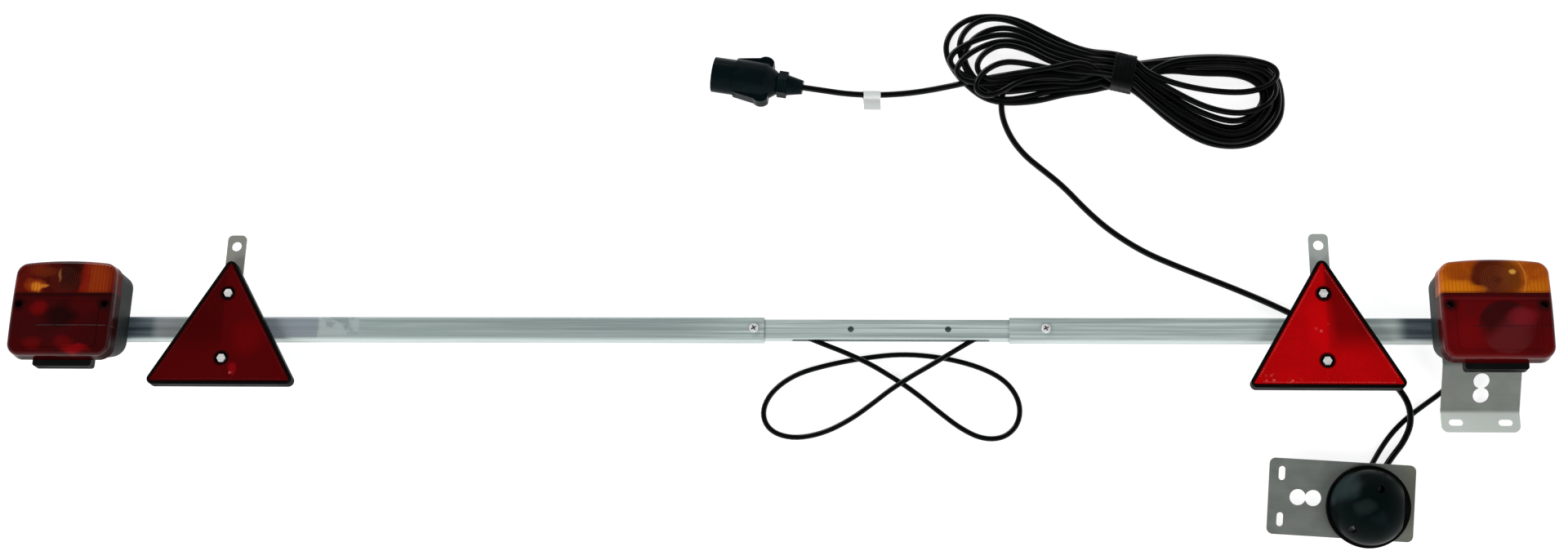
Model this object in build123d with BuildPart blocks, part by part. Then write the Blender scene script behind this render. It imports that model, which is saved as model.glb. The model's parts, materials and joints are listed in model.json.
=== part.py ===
"""Telescopic trailer lighting board, laid on the floor with its lamps up.

X runs along the bar from the left lamp to the right lamp, Y across it, Z up from the floor.
"""
import os
from math import cos, pi, radians, sin, sqrt, tan

from build123d import *

os.makedirs("parts", exist_ok=True)

# Bar: two outer tubes and a centre tube that slides in both
bar_y = 58.0               # bar axis, from the middle of the laid-out board
bar_lift = 10.0            # floor to the back of the bar: the ends of the lamp bolts carry it
outer_width = 25.0
outer_depth = 15.0
outer_wall = 1.5
outer_corner = 2.8
slide_gap = 0.3            # each side, between outer tube and centre tube
inner_wall = 1.2
inner_corner = 1.9
index_pitch = 100.0
index_hole = 6.5
clamp_x = -12.8            # clamp screw of the left tube
free_steps = 3             # index steps from one clamp screw to the other
left_end_margin = 10.5     # clamp screw to the end of the left tube
right_end_margin = 37.4
rivet_room = 66.7          # from the centre tube's end to the strap rivets
tube_past_lamp = 37.5      # lamp centre to the outer end of the tube

# Lamps
lamp_reach = 726.5         # board middle to lamp centre
lamp_offset = 6.0          # lamp centre above the bar axis, along Y
base_width = 105.0
base_height = 101.0        # at the front
base_corner = 15.0
base_depth = 34.0
base_undercut = 12.0       # lower wall slopes in towards the back
base_wall = 2.2
gasket_thickness = 1.5
gasket_width = 2.8
lens_overhang = 1.48       # lens past the front edge of the base
lens_corner = 14.0
lens_crown = 4.0           # bow of the lens outline's top edge
lens_depth = 18.0
lens_draft = 4.0
lens_edge = 5.0
lens_wall = 2.2
lens_split = 15.0          # amber above, red below, from the lamp centre
panel_step = 0.7           # raised panel on the red lens
panel_margin = 9.0
lens_screw_inset = 7.0     # from the side of the base
lens_screw_y = 3.4
lens_screw_d = 3.2
lens_screw_head = 6.6
lens_screw_well = 7.4
lens_screw_bite = 12.0
boss_d = 8.0
lip_width = 62.0
lip_reach = 6.0            # lip below the edge of the lens
lip_height = 11.0
window_margin = 4.0
window_thickness = 1.6
carrier_side_margin = 12.5  # from the sides of the base
carrier_end_margin = 2.0   # from the base's inside
carrier_lift = 10.0
carrier_sheet = 1.6
carrier_leg = 6.0
socket_wall = 1.6
socket_height = 8.0
bulb_cap = 15.0
bulb_glass = 22.0
bulb_fit = 0.15

# Fasteners
bolt_d = 6.0
bolt_af = 10.0
bolt_head = 4.0
nut_height = 5.0
nut_fit = 0.2
hole_fit = 0.6             # diameter added to a screw for its hole
lamp_bolt_half = 22.5      # lamp centre to each lamp bolt, along the bar
screw_d = 5.0
screw_af = 8.0
screw_head = 3.5
screw_nut = 4.0
screw_end = 2.0
rivet_d = 4.0
rivet_head = 7.5
rivet_head_height = 1.2
rivet_tail = 3.0
clamp_head_d = 9.5
clamp_head_height = 3.0

# Reflectors and straps
reflector_gap = 26.5       # lamp to the reflector's sharp corner, along the bar
reflector_offset = -18.1   # centroid below the bar axis
reflector_side = 162.0     # sharp corners
reflector_corner = 6.0
reflector_back_depth = 8.0
reflector_rim = 2.6
reflector_rim_height = 2.6
reflector_lens_depth = 3.0
lens_fit = 0.15
reflector_screw_y = (52.4, -18.7)  # from the centroid
screw_recess = 13.0
strap_width = 20.0
strap_sheet = 2.0
strap_top = 102.0          # strap tip above the bar axis
strap_tail = 11.0          # strap past the lower reflector screw
strap_hole = 10.5
strap_hole_inset = 12.4    # from the strap tip
strap_corner = 5.0
rivet_half = 5.0
rivet_y = -4.5             # from the bar axis
pocket_fit = 0.8           # rivet head clearance in the reflector back

# Bent bracket behind the right lamp
sheet = 2.0
bracket_shift = -5.0       # bracket's middle from the lamp centre
bracket_width = 78.0
bracket_bend_y = 21.0      # upper bend
bracket_foot_y = -21.0     # lower bend, on the floor
bracket_end_y = -43.0
bracket_corner = 7.0
bend_radius = 4.0
keyhole_d = 16.0
keyhole_pitch = 15.0
slot_width = 6.5
slot_length = 14.0
slot_pitch = 49.0
flange_slot_y = -33.0

# Number-plate lamp on its flat plate, tilted on the ends of its bolts
plate_at = (576.0, -115.0, 11.7)
plate_heading = -3.2
plate_tilt = 17.0
plate_length = 143.0
plate_width = 76.0
plate_corner = 6.0
plate_slot_x = -59.0
plate_slot_half = 23.0
plate_keyhole_x = -35.0
dome_x = 26.0
dome_y = -5.0
dome_base_d = 82.0
dome_base_height = 6.0
dome_d = 76.0
dome_wall = 2.2
dome_window_x = 30.0       # flat of the window, from the dome axis
dome_screws = ((5.0, 20.0), (-19.0, -21.0))
dome_post_d = 10.0
dome_post_floor = 17.0     # seat of the screw head above the plate
dome_bolt_half = 20.0
dome_bolt_y = 14.0
dome_cables = ((14.0, 26.5), (0.5, 30.0))  # main cable and link, from the dome axis
dome_grommet_d = 8.6
dome_grommet_flange = 10.6
small_bulb_d = 15.0
small_bulb_length = 24.0

# Cables
main_d = 6.6
thin_d = 5.6
cable_fit = 0.4
cable_y = 6.3              # inside the bar, beside the bolts
floor_gap = 0.1
end_gap = 0.8
cable_hole = 7.0
grommet_d = 9.4
grommet_flange = 13.0
grommet_flange_height = 1.5
link_hole_room = 0.4       # cable hole's grommet to the lamp's lower wall
cable_slot = (26.0, 230.0)
cable_slot_height = 7.0

# Plug, tag and tie
plug_at = (-63.9, 345.9, 20.6)
plug_heading = -9.4
shell_d = 38.0
shell_bore = 32.0
shell_depth = 24.0
body_d = 41.0
body_end = 58.0
neck_d = 22.0
neck_end = 71.0
wing_span = 51.5
wing_thickness = 15.0
gland_af = 25.0
gland_hex_end = 81.0
gland_end = 97.8
gland_nose = 15.0
insert_fit = 0.15
insert_depth = 10.0
pin_d = 4.6
pin_circle = 20.0
pin_length = 11.0
lead_straight = 21.0       # of the lead, straight on from the gland
tag_size = (18.5, 13.0)
tag_sheet = 0.5
tag_sleeve = 9.2
tag_fit = 1.4              # on the diameter, round the curved lead
tie_at = (375.0, 347.0)
tie_heading = -14.0
tie_width = 24.0
tie_sheet = 1.2
hank_height = 26.0
hank_waist = 36.6

# Worked-out sizes
bar_front = bar_lift + outer_depth
bar_middle = bar_lift + outer_depth / 2
inner_width = outer_width - 2 * (outer_wall + slide_gap)
inner_depth = outer_depth - 2 * (outer_wall + slide_gap)
inner_front = bar_front - outer_wall - slide_gap
left_clamp_x = clamp_x
right_clamp_x = clamp_x + free_steps * index_pitch
left_tube_end = left_clamp_x + left_end_margin
right_tube_end = right_clamp_x - right_end_margin
tube_reach = lamp_reach + tube_past_lamp
lamp_y = bar_y + lamp_offset
base_back_height = base_height - base_undercut
link_hole_y = base_undercut + base_wall + link_hole_room + grommet_flange / 2 - base_height / 2
lens_width = base_width + 2 * lens_overhang
lens_height = base_height + 2 * lens_overhang
lens_screw_reach = base_width / 2 - lens_screw_inset
bracket_x = lamp_reach + bracket_shift
strap_front = bar_front + strap_sheet
reflector_reach = lamp_reach - base_width / 2 - reflector_gap - reflector_side / 2
overlap = reflector_reach - rivet_half - rivet_room - right_tube_end
travel_steps = int((overlap - right_end_margin) / index_pitch)
carrier_width = base_width - 2 * carrier_side_margin
carrier_height = base_back_height - 2 * (base_wall + carrier_end_margin)
carrier_y = base_undercut / 2
bulb_y = [(lens_split + carrier_y + s * carrier_height / 2) / 2 for s in (1, -1)]
reflector_y = bar_y + reflector_offset
reflector_radius = reflector_side / sqrt(3)
reflector_floor = strap_front + reflector_back_depth
strap_bottom = reflector_offset + reflector_screw_y[1] - strap_tail
strap_hole_y = strap_top - strap_hole_inset
plug_axis = (cos(radians(plug_heading)), sin(radians(plug_heading)), 0)


def on_plug_axis(depth):
    return tuple(at + depth * along for at, along in zip(plug_at, plug_axis))


# Cable routes, each point chosen by hand
lead_route = (
    on_plug_axis(gland_end), on_plug_axis(gland_end + lead_straight), (79.0, 324.4, 15.4),
    (106.0, 325.8, 8.4), (132.0, 328.2, 4.2), (160.0, 331.6, 3.4), (192.0, 338.0, 3.4),
)
tail_route = (
    (245.0, 322.0, 3.4), (245.9, 300.3, 3.4), (255.1, 276.7, 3.4), (269.6, 256.9, 3.4),
    (286.6, 242.0, 3.4), (309.0, 222.4, 3.4), (332.8, 194.8, 3.4), (357.7, 171.1, 3.4),
    (390.8, 148.4, 3.4), (424.0, 133.1, 3.4), (457.0, 119.2, 3.4), (489.8, 105.2, 3.4),
    (522.4, 90.0, 3.4), (556.0, 72.4, 3.4), (590.0, 51.6, 3.4), (620.0, 28.0, 3.4),
    (641.0, 4.0, 4.4), (650.0, -15.0, 15.4), (651.0, -36.0, 15.4), (643.4, -53.6, 4.6),
    (632.0, -67.6, 3.4), (623.4, -79.4, 3.6), (618.9, -88.6, 5.4), (617.2, -94.5, 10.8),
    (617.1, -97.1, 19.4),
)
link_route = (
    (603.8, -93.1, 20.4), (603.9, -90.3, 11.4), (605.6, -84.6, 5.2), (611.2, -75.6, 3.0),
    (621.0, -59.5, 2.9), (633.5, -43.0, 2.9), (648.6, -28.6, 2.9), (665.0, -16.2, 2.9), (682.0, -4.0, 2.9),
    (lamp_reach - 27.5, 10.5, 3.4), (lamp_reach - 13.5, 22.5, 7.0), (lamp_reach - 4.6, 30.6, 13.6),
    (lamp_reach - 0.4, lamp_y + link_hole_y - 0.4, 21.6), (lamp_reach, lamp_y + link_hole_y, 29.0),
)
loop_route = (
    (4.0, 63.5, 17.5), (22.0, 59.0, 17.5), (40.0, 51.4, 17.5), (58.0, 44.0, 17.2),
    (76.0, 38.0, 15.4), (94.0, 31.0, 14.3), (112.0, 22.0, 12.6), (127.0, 13.6, 5.2),
    (141.0, 5.0, 2.9), (158.0, -7.6, 2.9), (178.0, -24.6, 2.9), (200.0, -42.0, 2.9),
    (222.0, -53.0, 2.9), (244.0, -51.8, 2.9), (259.0, -37.0, 2.9), (261.0, -14.0, 2.9),
    (247.0, 9.0, 2.9), (219.0, 24.0, 2.9), (180.0, 34.0, 2.9), (140.0, 37.4, 2.9),
    (102.0, 33.2, 2.9), (62.0, 25.2, 2.9), (28.0, 14.6, 2.9), (4.0, -4.6, 2.9),
    (-4.6, -27.0, 2.9), (4.6, -46.0, 2.9), (29.0, -53.6, 2.9), (60.0, -47.6, 2.9),
    (88.0, -32.6, 3.2), (110.0, -16.6, 8.0), (128.0, -2.6, 13.8), (150.0, 12.0, 14.6),
    (169.0, 23.0, 14.8), (188.0, 34.4, 15.8), (205.0, 43.8, 17.3), (220.0, 52.2, 17.5),
    (233.0, 59.4, 17.5), (246.0, 63.5, 17.5),
)
hank_outline = (
    (186.0, 374.0), (204.0, 408.0), (244.0, 423.0), (290.0, 414.0), (334.0, 386.0),
    (376.0, 361.4), (440.0, 368.0), (500.0, 374.0), (540.0, 352.0), (547.0, 310.0),
    (525.0, 277.0), (488.0, 261.0), (444.0, 284.0), (404.0, 317.0), (374.0, 331.6),
    (334.0, 329.0), (292.0, 318.0), (246.0, 316.0), (206.0, 326.0), (186.0, 346.0),
)
hank_eyes = (((478.0, 316.0), (33.0, 14.0), -12.0), ((246.0, 372.0), (36.0, 20.0), -18.0))


def write(builder, name):
    builder.part.label = name
    export_step(builder.part, f"parts/{name}.step")


def lamp_back(side):
    return bar_front + (sheet if side > 0 else 0)


def lamp_plane(side, height=0.0):
    return Plane((side * lamp_reach, lamp_y, lamp_back(side) + height))


def clamp_position(side):
    return right_clamp_x if side > 0 else left_clamp_x


def lamp_outline(width, height, corner, crown):
    half_w = width / 2
    half_h = height / 2
    with BuildSketch() as outline:
        with BuildLine():
            ThreePointArc((half_w, half_h - crown), (0, half_h), (-half_w, half_h - crown))
            ThreePointArc((-half_w, half_h - crown), (-half_w - crown / 4, 0), (-half_w, -half_h))
            Line((-half_w, -half_h), (half_w, -half_h))
            ThreePointArc((half_w, -half_h), (half_w + crown / 4, 0), (half_w, half_h - crown))
        make_face()
        fillet(outline.vertices(), corner)
    return outline.sketch


def outer_tube(side):
    inner_end = right_tube_end if side > 0 else left_tube_end
    start = min(inner_end, side * tube_reach)
    length = abs(side * tube_reach - inner_end)
    bolt_places = [(side * lamp_reach + s * lamp_bolt_half, bar_y) for s in (-1, 1)]
    with BuildPart() as tube:
        with BuildSketch(Plane.YZ.offset(start)):
            with Locations((bar_y, bar_middle)):
                RectangleRounded(outer_width, outer_depth, outer_corner)
                RectangleRounded(
                    outer_width - 2 * outer_wall, outer_depth - 2 * outer_wall,
                    outer_corner - outer_wall, mode=Mode.SUBTRACT,
                )
        extrude(amount=length)
        with BuildSketch(Plane.XY.offset(bar_front)):
            with Locations((clamp_position(side), bar_y)):
                Circle((screw_d + hole_fit) / 2)
            with Locations(*rivet_places(side)):
                Circle((rivet_d + nut_fit) / 2)
            with Locations((side * lamp_reach, bar_y + cable_y)):
                Circle(cable_hole / 2)
        extrude(amount=-2 * outer_wall, mode=Mode.SUBTRACT)
        with BuildSketch(Plane.XY.offset(bar_front)):
            with Locations(*bolt_places):
                Circle((bolt_d + hole_fit) / 2)
        extrude(amount=-outer_depth, mode=Mode.SUBTRACT)
    return tube


def rivet_places(side):
    return [(side * reflector_reach + s * rivet_half, bar_y + rivet_y) for s in (-1, 1)]


def centre_tube():
    start = left_tube_end - overlap
    length = right_tube_end + overlap - start
    steps = free_steps + 2 * travel_steps
    holes = [(left_clamp_x + (n - travel_steps) * index_pitch, bar_y) for n in range(steps + 1)]
    with BuildPart() as tube:
        with BuildSketch(Plane.YZ.offset(start)):
            with Locations((bar_y, bar_middle)):
                RectangleRounded(inner_width, inner_depth, inner_corner)
                RectangleRounded(
                    inner_width - 2 * inner_wall, inner_depth - 2 * inner_wall,
                    inner_corner - inner_wall, mode=Mode.SUBTRACT,
                )
        extrude(amount=length)
        with BuildSketch(Plane.XY.offset(inner_front)):
            with Locations(*holes):
                Circle(index_hole / 2)
        extrude(amount=-2 * inner_wall, mode=Mode.SUBTRACT)
        slot_middle = sum(cable_slot) / 2
        with BuildSketch(Plane.XZ.offset(-bar_y + inner_width / 2)):
            with Locations((slot_middle, bar_middle)):
                SlotOverall(cable_slot[1] - cable_slot[0], cable_slot_height)
        extrude(amount=-2 * inner_wall, mode=Mode.SUBTRACT)
    return tube


def clamp_screw(side):
    with BuildPart() as screw:
        with BuildSketch(Plane((clamp_position(side), bar_y, bar_front))):
            Circle(clamp_head_d / 2)
        extrude(amount=clamp_head_height)
        chamfer(screw.faces().sort_by(Axis.Z)[-1].edges(), clamp_head_height / 3)
        with BuildSketch(Plane((clamp_position(side), bar_y, bar_front))):
            Circle(screw_d / 2)
        extrude(amount=-outer_wall)
    return screw


def lens_screw_places():
    return [(s * lens_screw_reach, lens_screw_y) for s in (-1, 1)]


def floor_holes(side):
    cable = (0, bar_y + cable_y - lamp_y)
    return [cable, (0, link_hole_y)] if side > 0 else [cable]


def lamp_base(side):
    lip_bottom = -lens_height / 2 - lip_reach
    lip_top = -base_height / 2 + 2 * base_wall
    inside_width = base_width - 2 * base_wall
    inside_corner = base_corner - base_wall
    with BuildPart() as base:
        with BuildSketch(lamp_plane(side)):
            with Locations((0, base_undercut / 2)):
                RectangleRounded(base_width, base_back_height, base_corner)
        with BuildSketch(lamp_plane(side, base_depth)):
            RectangleRounded(base_width, base_height, base_corner)
        loft()
        with BuildSketch(lamp_plane(side, base_depth)):
            with Locations((0, (lip_bottom + lip_top) / 2)):
                RectangleRounded(lip_width, lip_top - lip_bottom, lip_reach / 2)
        extrude(amount=-lip_height)
        with BuildSketch(lamp_plane(side, base_wall)):
            with Locations((0, base_undercut / 2)):
                RectangleRounded(inside_width, base_back_height - 2 * base_wall, inside_corner)
        with BuildSketch(lamp_plane(side, base_depth)):
            RectangleRounded(inside_width, base_height - 2 * base_wall, inside_corner)
        loft(mode=Mode.SUBTRACT)
        with BuildSketch(lamp_plane(side, base_wall)):
            with Locations(*lens_screw_places()):
                Circle(boss_d / 2)
        extrude(amount=base_depth - base_wall + gasket_thickness)
        with BuildSketch(lamp_plane(side, base_depth + gasket_thickness)):
            with Locations(*lens_screw_places()):
                Circle((lens_screw_d + nut_fit) / 2)
        extrude(amount=-lens_screw_bite - nut_fit, mode=Mode.SUBTRACT)
        with BuildSketch(lamp_plane(side)):
            with Locations(*[(s * lamp_bolt_half, bar_y - lamp_y) for s in (-1, 1)]):
                Circle((bolt_d + hole_fit) / 2)
            with Locations(*floor_holes(side)):
                Circle((grommet_d + nut_fit) / 2)
        extrude(amount=base_wall, mode=Mode.SUBTRACT)
        lip_face = lamp_y - lens_height / 2 - lip_reach
        with BuildSketch(Plane.XZ.offset(-lip_face)):
            with Locations((side * lamp_reach, lamp_back(side) + base_depth - lip_height / 2)):
                Rectangle(lip_width - 2 * window_margin, lip_height - window_margin)
        extrude(amount=-window_thickness, mode=Mode.SUBTRACT)
    return base


def plate_window(side):
    lip_face = lamp_y - lens_height / 2 - lip_reach
    with BuildPart() as window:
        with BuildSketch(Plane.XZ.offset(-lip_face)):
            with Locations((side * lamp_reach, lamp_back(side) + base_depth - lip_height / 2)):
                Rectangle(
                    lip_width - 2 * window_margin - 2 * lens_fit, lip_height - window_margin - 2 * lens_fit
                )
        extrude(amount=-window_thickness)
    return window


def lamp_gasket(side):
    with BuildPart() as gasket:
        with BuildSketch(lamp_plane(side, base_depth)):
            RectangleRounded(base_width, base_height, base_corner)
            RectangleRounded(
                base_width - 2 * gasket_width, base_height - 2 * gasket_width,
                base_corner - gasket_width, mode=Mode.SUBTRACT,
            )
        extrude(amount=gasket_thickness)
    return gasket


def lamp_lens(side, amber):
    lens_back = base_depth + gasket_thickness
    front = lens_back + lens_depth
    split_plane = Plane((0, lamp_y + lens_split, 0), z_dir=(0, 1, 0))
    panel_height = lens_height / 2 + lens_split - 2 * panel_margin
    with BuildPart() as lens:
        with BuildSketch(lamp_plane(side, lens_back)):
            add(lamp_outline(lens_width, lens_height, lens_corner, lens_crown))
        extrude(amount=lens_depth, taper=lens_draft)
        fillet(lens.faces().sort_by(Axis.Z)[-1].edges(), lens_edge)
        with BuildSketch(lamp_plane(side, lens_back)):
            add(
                lamp_outline(
                    lens_width - 2 * lens_wall, lens_height - 2 * lens_wall,
                    lens_corner - lens_wall, lens_crown,
                )
            )
        extrude(amount=lens_depth - lens_wall, taper=lens_draft, mode=Mode.SUBTRACT)
        if amber:
            split(bisect_by=split_plane, keep=Keep.TOP)
        else:
            split(bisect_by=split_plane, keep=Keep.BOTTOM)
            with BuildSketch(lamp_plane(side, front)):
                with Locations((0, (lens_split - lens_height / 2) / 2)):
                    RectangleRounded(lens_width - 3 * panel_margin, panel_height, panel_margin / 2)
            extrude(amount=panel_step)
            with BuildSketch(lamp_plane(side, lens_back)):
                with Locations(*lens_screw_places()):
                    Circle((lens_screw_well + 2 * lens_wall) / 2)
            extrude(amount=lens_depth - lens_wall)
            with BuildSketch(lamp_plane(side, lens_back + lens_wall)):
                with Locations(*lens_screw_places()):
                    Circle(lens_screw_well / 2)
            extrude(amount=lens_depth + panel_step, mode=Mode.SUBTRACT)
            with BuildSketch(lamp_plane(side, lens_back)):
                with Locations(*lens_screw_places()):
                    Circle((lens_screw_d + nut_fit) / 2)
            extrude(amount=lens_wall, mode=Mode.SUBTRACT)
    return lens


def lens_screws(side):
    seat = base_depth + gasket_thickness + lens_wall
    with BuildPart() as screws:
        with BuildSketch(lamp_plane(side, seat)):
            with Locations(*lens_screw_places()):
                Circle(lens_screw_head / 2)
        extrude(amount=screw_head)
        with BuildSketch(lamp_plane(side, seat)):
            with Locations(*lens_screw_places()):
                Circle(lens_screw_d / 2)
        extrude(amount=-lens_screw_bite - lens_wall)
    return screws


def bulb_carrier(side):
    sheet_back = base_wall + carrier_lift
    sheet_front = sheet_back + carrier_sheet
    lens_inside = base_depth + gasket_thickness + lens_depth - lens_wall
    leg_spread = 2 * carrier_leg
    socket_r = bulb_cap / 2 + bulb_fit + socket_wall
    with BuildPart() as carrier:
        with BuildSketch(lamp_plane(side, sheet_back)):
            with Locations((0, carrier_y)):
                RectangleRounded(carrier_width, carrier_height, carrier_leg)
        extrude(amount=carrier_sheet)
        with BuildSketch(lamp_plane(side, base_wall)):
            with Locations((0, carrier_y)):
                with GridLocations(carrier_width - leg_spread, carrier_height - leg_spread, 2, 2):
                    Circle(carrier_leg / 2)
        extrude(amount=carrier_lift)
        with BuildSketch(lamp_plane(side, sheet_front)):
            with Locations((0, lens_split)):
                Rectangle(carrier_width, carrier_sheet)
        extrude(amount=lens_inside - sheet_front - end_gap)
        with BuildSketch(lamp_plane(side, sheet_front)):
            with Locations(*[(0, y) for y in bulb_y]):
                Circle(socket_r)
                Circle(socket_r - socket_wall, mode=Mode.SUBTRACT)
        extrude(amount=socket_height)
    return carrier


def bulb(side, y):
    seat = base_wall + carrier_lift + carrier_sheet
    cap_r = bulb_cap / 2
    glass_r = bulb_glass / 2
    glass_z = socket_height + glass_r
    neck = glass_z - sqrt(glass_r**2 - (cap_r - 1) ** 2)
    axis_plane = Plane(
        (side * lamp_reach, lamp_y + y, lamp_back(side) + seat), x_dir=(1, 0, 0), z_dir=(0, -1, 0)
    )
    with BuildPart() as lamp:
        with BuildSketch(axis_plane):
            with BuildLine():
                Polyline(
                    (0, glass_z + glass_r), (0, 0), (cap_r, 0), (cap_r, neck - 1), (cap_r - 1, neck - 1),
                    (cap_r - 1, neck),
                )
                ThreePointArc((cap_r - 1, neck), (glass_r, glass_z), (0, glass_z + glass_r))
            make_face()
        revolve(axis=Axis(axis_plane.origin, (0, 0, 1)))
    return lamp


def lamp_bolts(side):
    places = [(side * lamp_reach + s * lamp_bolt_half, bar_y) for s in (-1, 1)]
    seat = lamp_back(side) + base_wall
    with BuildPart() as bolts:
        with BuildSketch(Plane.XY.offset(seat)):
            with Locations(*places):
                RegularPolygon(bolt_af / 2, 6, major_radius=False)
        extrude(amount=bolt_head)
        with BuildSketch(Plane.XY.offset(seat)):
            with Locations(*places):
                Circle(bolt_d / 2)
        extrude(amount=-seat)
        with BuildSketch(Plane.XY.offset(bar_lift)):
            with Locations(*places):
                RegularPolygon(bolt_af / 2, 6, major_radius=False)
                Circle((bolt_d + nut_fit) / 2, mode=Mode.SUBTRACT)
        extrude(amount=-nut_height)
    return bolts


def lamp_grommets(side):
    with BuildPart() as grommets:
        with BuildSketch(lamp_plane(side)):
            with Locations(*floor_holes(side)):
                Circle(grommet_d / 2)
                Circle((thin_d + cable_fit) / 2, mode=Mode.SUBTRACT)
        extrude(amount=base_wall)
        with BuildSketch(lamp_plane(side, base_wall)):
            with Locations(*floor_holes(side)):
                Circle(grommet_flange / 2)
                Circle((thin_d + cable_fit) / 2, mode=Mode.SUBTRACT)
        extrude(amount=grommet_flange_height)
    return grommets


def reflector_screw_places(side):
    return [(side * reflector_reach, reflector_y + y) for y in reflector_screw_y]


def reflector_plane(side, height):
    return Plane((side * reflector_reach, reflector_y, height))


def triangle(inset, corner):
    with BuildSketch() as outline:
        RegularPolygon(reflector_radius - 2 * inset, 3, rotation=90)
        fillet(outline.vertices(), corner)
    return outline.sketch


def reflector_back(side):
    inner_corner_r = reflector_corner - reflector_rim
    with BuildPart() as back:
        with BuildSketch(reflector_plane(side, strap_front)):
            add(triangle(0, reflector_corner))
        extrude(amount=reflector_back_depth + reflector_rim_height)
        with BuildSketch(reflector_plane(side, reflector_floor)):
            add(triangle(reflector_rim, inner_corner_r))
        extrude(amount=reflector_rim_height, mode=Mode.SUBTRACT)
        with BuildSketch(Plane.XY.offset(strap_front)):
            with Locations(*reflector_screw_places(side)):
                Circle((screw_d + hole_fit) / 2)
        extrude(amount=reflector_back_depth, mode=Mode.SUBTRACT)
        with BuildSketch(Plane.XY.offset(strap_front)):
            with Locations(*rivet_places(side)):
                Circle((rivet_head + pocket_fit) / 2)
        extrude(amount=rivet_head_height + pocket_fit, mode=Mode.SUBTRACT)
    return back


def reflector_lens(side):
    inset = reflector_rim + lens_fit
    with BuildPart() as lens:
        with BuildSketch(reflector_plane(side, reflector_floor)):
            add(triangle(inset, reflector_corner - inset))
        extrude(amount=reflector_lens_depth)
        with BuildSketch(Plane.XY.offset(reflector_floor)):
            with Locations(*reflector_screw_places(side)):
                Circle(screw_recess / 2)
        extrude(amount=reflector_lens_depth, mode=Mode.SUBTRACT)
    return lens


def reflector_screws(side):
    places = reflector_screw_places(side)
    with BuildPart() as screws:
        with BuildSketch(Plane.XY.offset(reflector_floor)):
            with Locations(*places):
                RegularPolygon(screw_af / 2, 6, major_radius=False)
        extrude(amount=screw_head)
        with BuildSketch(Plane.XY.offset(reflector_floor)):
            with Locations(*places):
                Circle(screw_d / 2)
        extrude(amount=-(reflector_back_depth + strap_sheet + screw_nut + screw_end))
        with BuildSketch(Plane.XY.offset(bar_front)):
            with Locations(*places):
                RegularPolygon(screw_af / 2, 6, major_radius=False)
                Circle((screw_d + nut_fit) / 2, mode=Mode.SUBTRACT)
        extrude(amount=-screw_nut)
    return screws


def strap(side):
    with BuildPart() as plate:
        with BuildSketch(Plane((side * reflector_reach, bar_y, bar_front))):
            with Locations((0, (strap_top + strap_bottom) / 2)):
                RectangleRounded(strap_width, strap_top - strap_bottom, strap_corner)
            with Locations((0, strap_hole_y)):
                Circle(strap_hole / 2, mode=Mode.SUBTRACT)
        extrude(amount=strap_sheet)
        with BuildSketch(Plane.XY.offset(bar_front)):
            with Locations(*reflector_screw_places(side)):
                Circle((screw_d + hole_fit) / 2)
            with Locations(*rivet_places(side)):
                Circle((rivet_d + nut_fit) / 2)
        extrude(amount=strap_sheet, mode=Mode.SUBTRACT)
    return plate


def strap_rivets(side):
    with BuildPart() as rivets:
        with BuildSketch(Plane.XY.offset(strap_front)):
            with Locations(*rivet_places(side)):
                Circle(rivet_head / 2)
        extrude(amount=rivet_head_height)
        with BuildSketch(Plane.XY.offset(strap_front)):
            with Locations(*rivet_places(side)):
                Circle(rivet_d / 2)
        extrude(amount=-strap_sheet - outer_wall)
        with BuildSketch(Plane.XY.offset(bar_front - outer_wall)):
            with Locations(*rivet_places(side)):
                Circle((rivet_d + outer_wall) / 2)
        extrude(amount=-rivet_tail)
    return rivets


def keyhole(pitch_along):
    places = [tuple(s * keyhole_pitch / 2 * a for a in pitch_along) for s in (-1, 1)]
    with BuildSketch() as outline:
        with Locations(*places):
            Circle(keyhole_d / 2)
    return outline.sketch


def lamp_bracket():
    top_y = bar_y + outer_width / 2
    half = sheet / 2
    flat_z = bar_front + half
    middle_y = (bracket_bend_y + bracket_foot_y) / 2
    middle_z = (flat_z + half) / 2
    fall = Vector(0, bracket_foot_y - bracket_bend_y, half - flat_z).normalized()
    slope = Plane((bracket_x, middle_y, middle_z), x_dir=(1, 0, 0), z_dir=(0, -fall.Z, fall.Y))
    with BuildPart() as bracket:
        with BuildSketch(Plane.YZ.offset(bracket_x - bracket_width / 2)):
            with BuildLine():
                FilletPolyline(
                    (top_y, bar_front), (bracket_bend_y, bar_front), (bracket_foot_y, 0), (bracket_end_y, 0),
                    radius=bend_radius,
                )
                offset(amount=sheet, side=Side.RIGHT)
            make_face()
        extrude(amount=bracket_width)
        with BuildSketch(Plane.XY):
            with Locations((bracket_x, (top_y + bracket_end_y) / 2)):
                RectangleRounded(bracket_width, top_y - bracket_end_y, bracket_corner)
        extrude(amount=bar_front + 2 * sheet, mode=Mode.INTERSECT)
        with BuildSketch(slope):
            add(keyhole((0, 1)))
        extrude(amount=2 * sheet, both=True, mode=Mode.SUBTRACT)
        with BuildSketch(Plane.XY):
            with Locations((bracket_x - slot_pitch / 2, flange_slot_y), (bracket_x + slot_pitch / 2, flange_slot_y)):
                SlotOverall(slot_length, slot_width)
        extrude(amount=sheet, mode=Mode.SUBTRACT)
        with BuildSketch(Plane.XY.offset(bar_front)):
            with Locations(*[(lamp_reach + s * lamp_bolt_half, bar_y) for s in (-1, 1)]):
                Circle((bolt_d + hole_fit) / 2)
            with Locations((lamp_reach, bar_y + cable_y), (lamp_reach, lamp_y + link_hole_y)):
                Circle((grommet_d + nut_fit) / 2)
        extrude(amount=sheet, mode=Mode.SUBTRACT)
    return bracket


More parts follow.
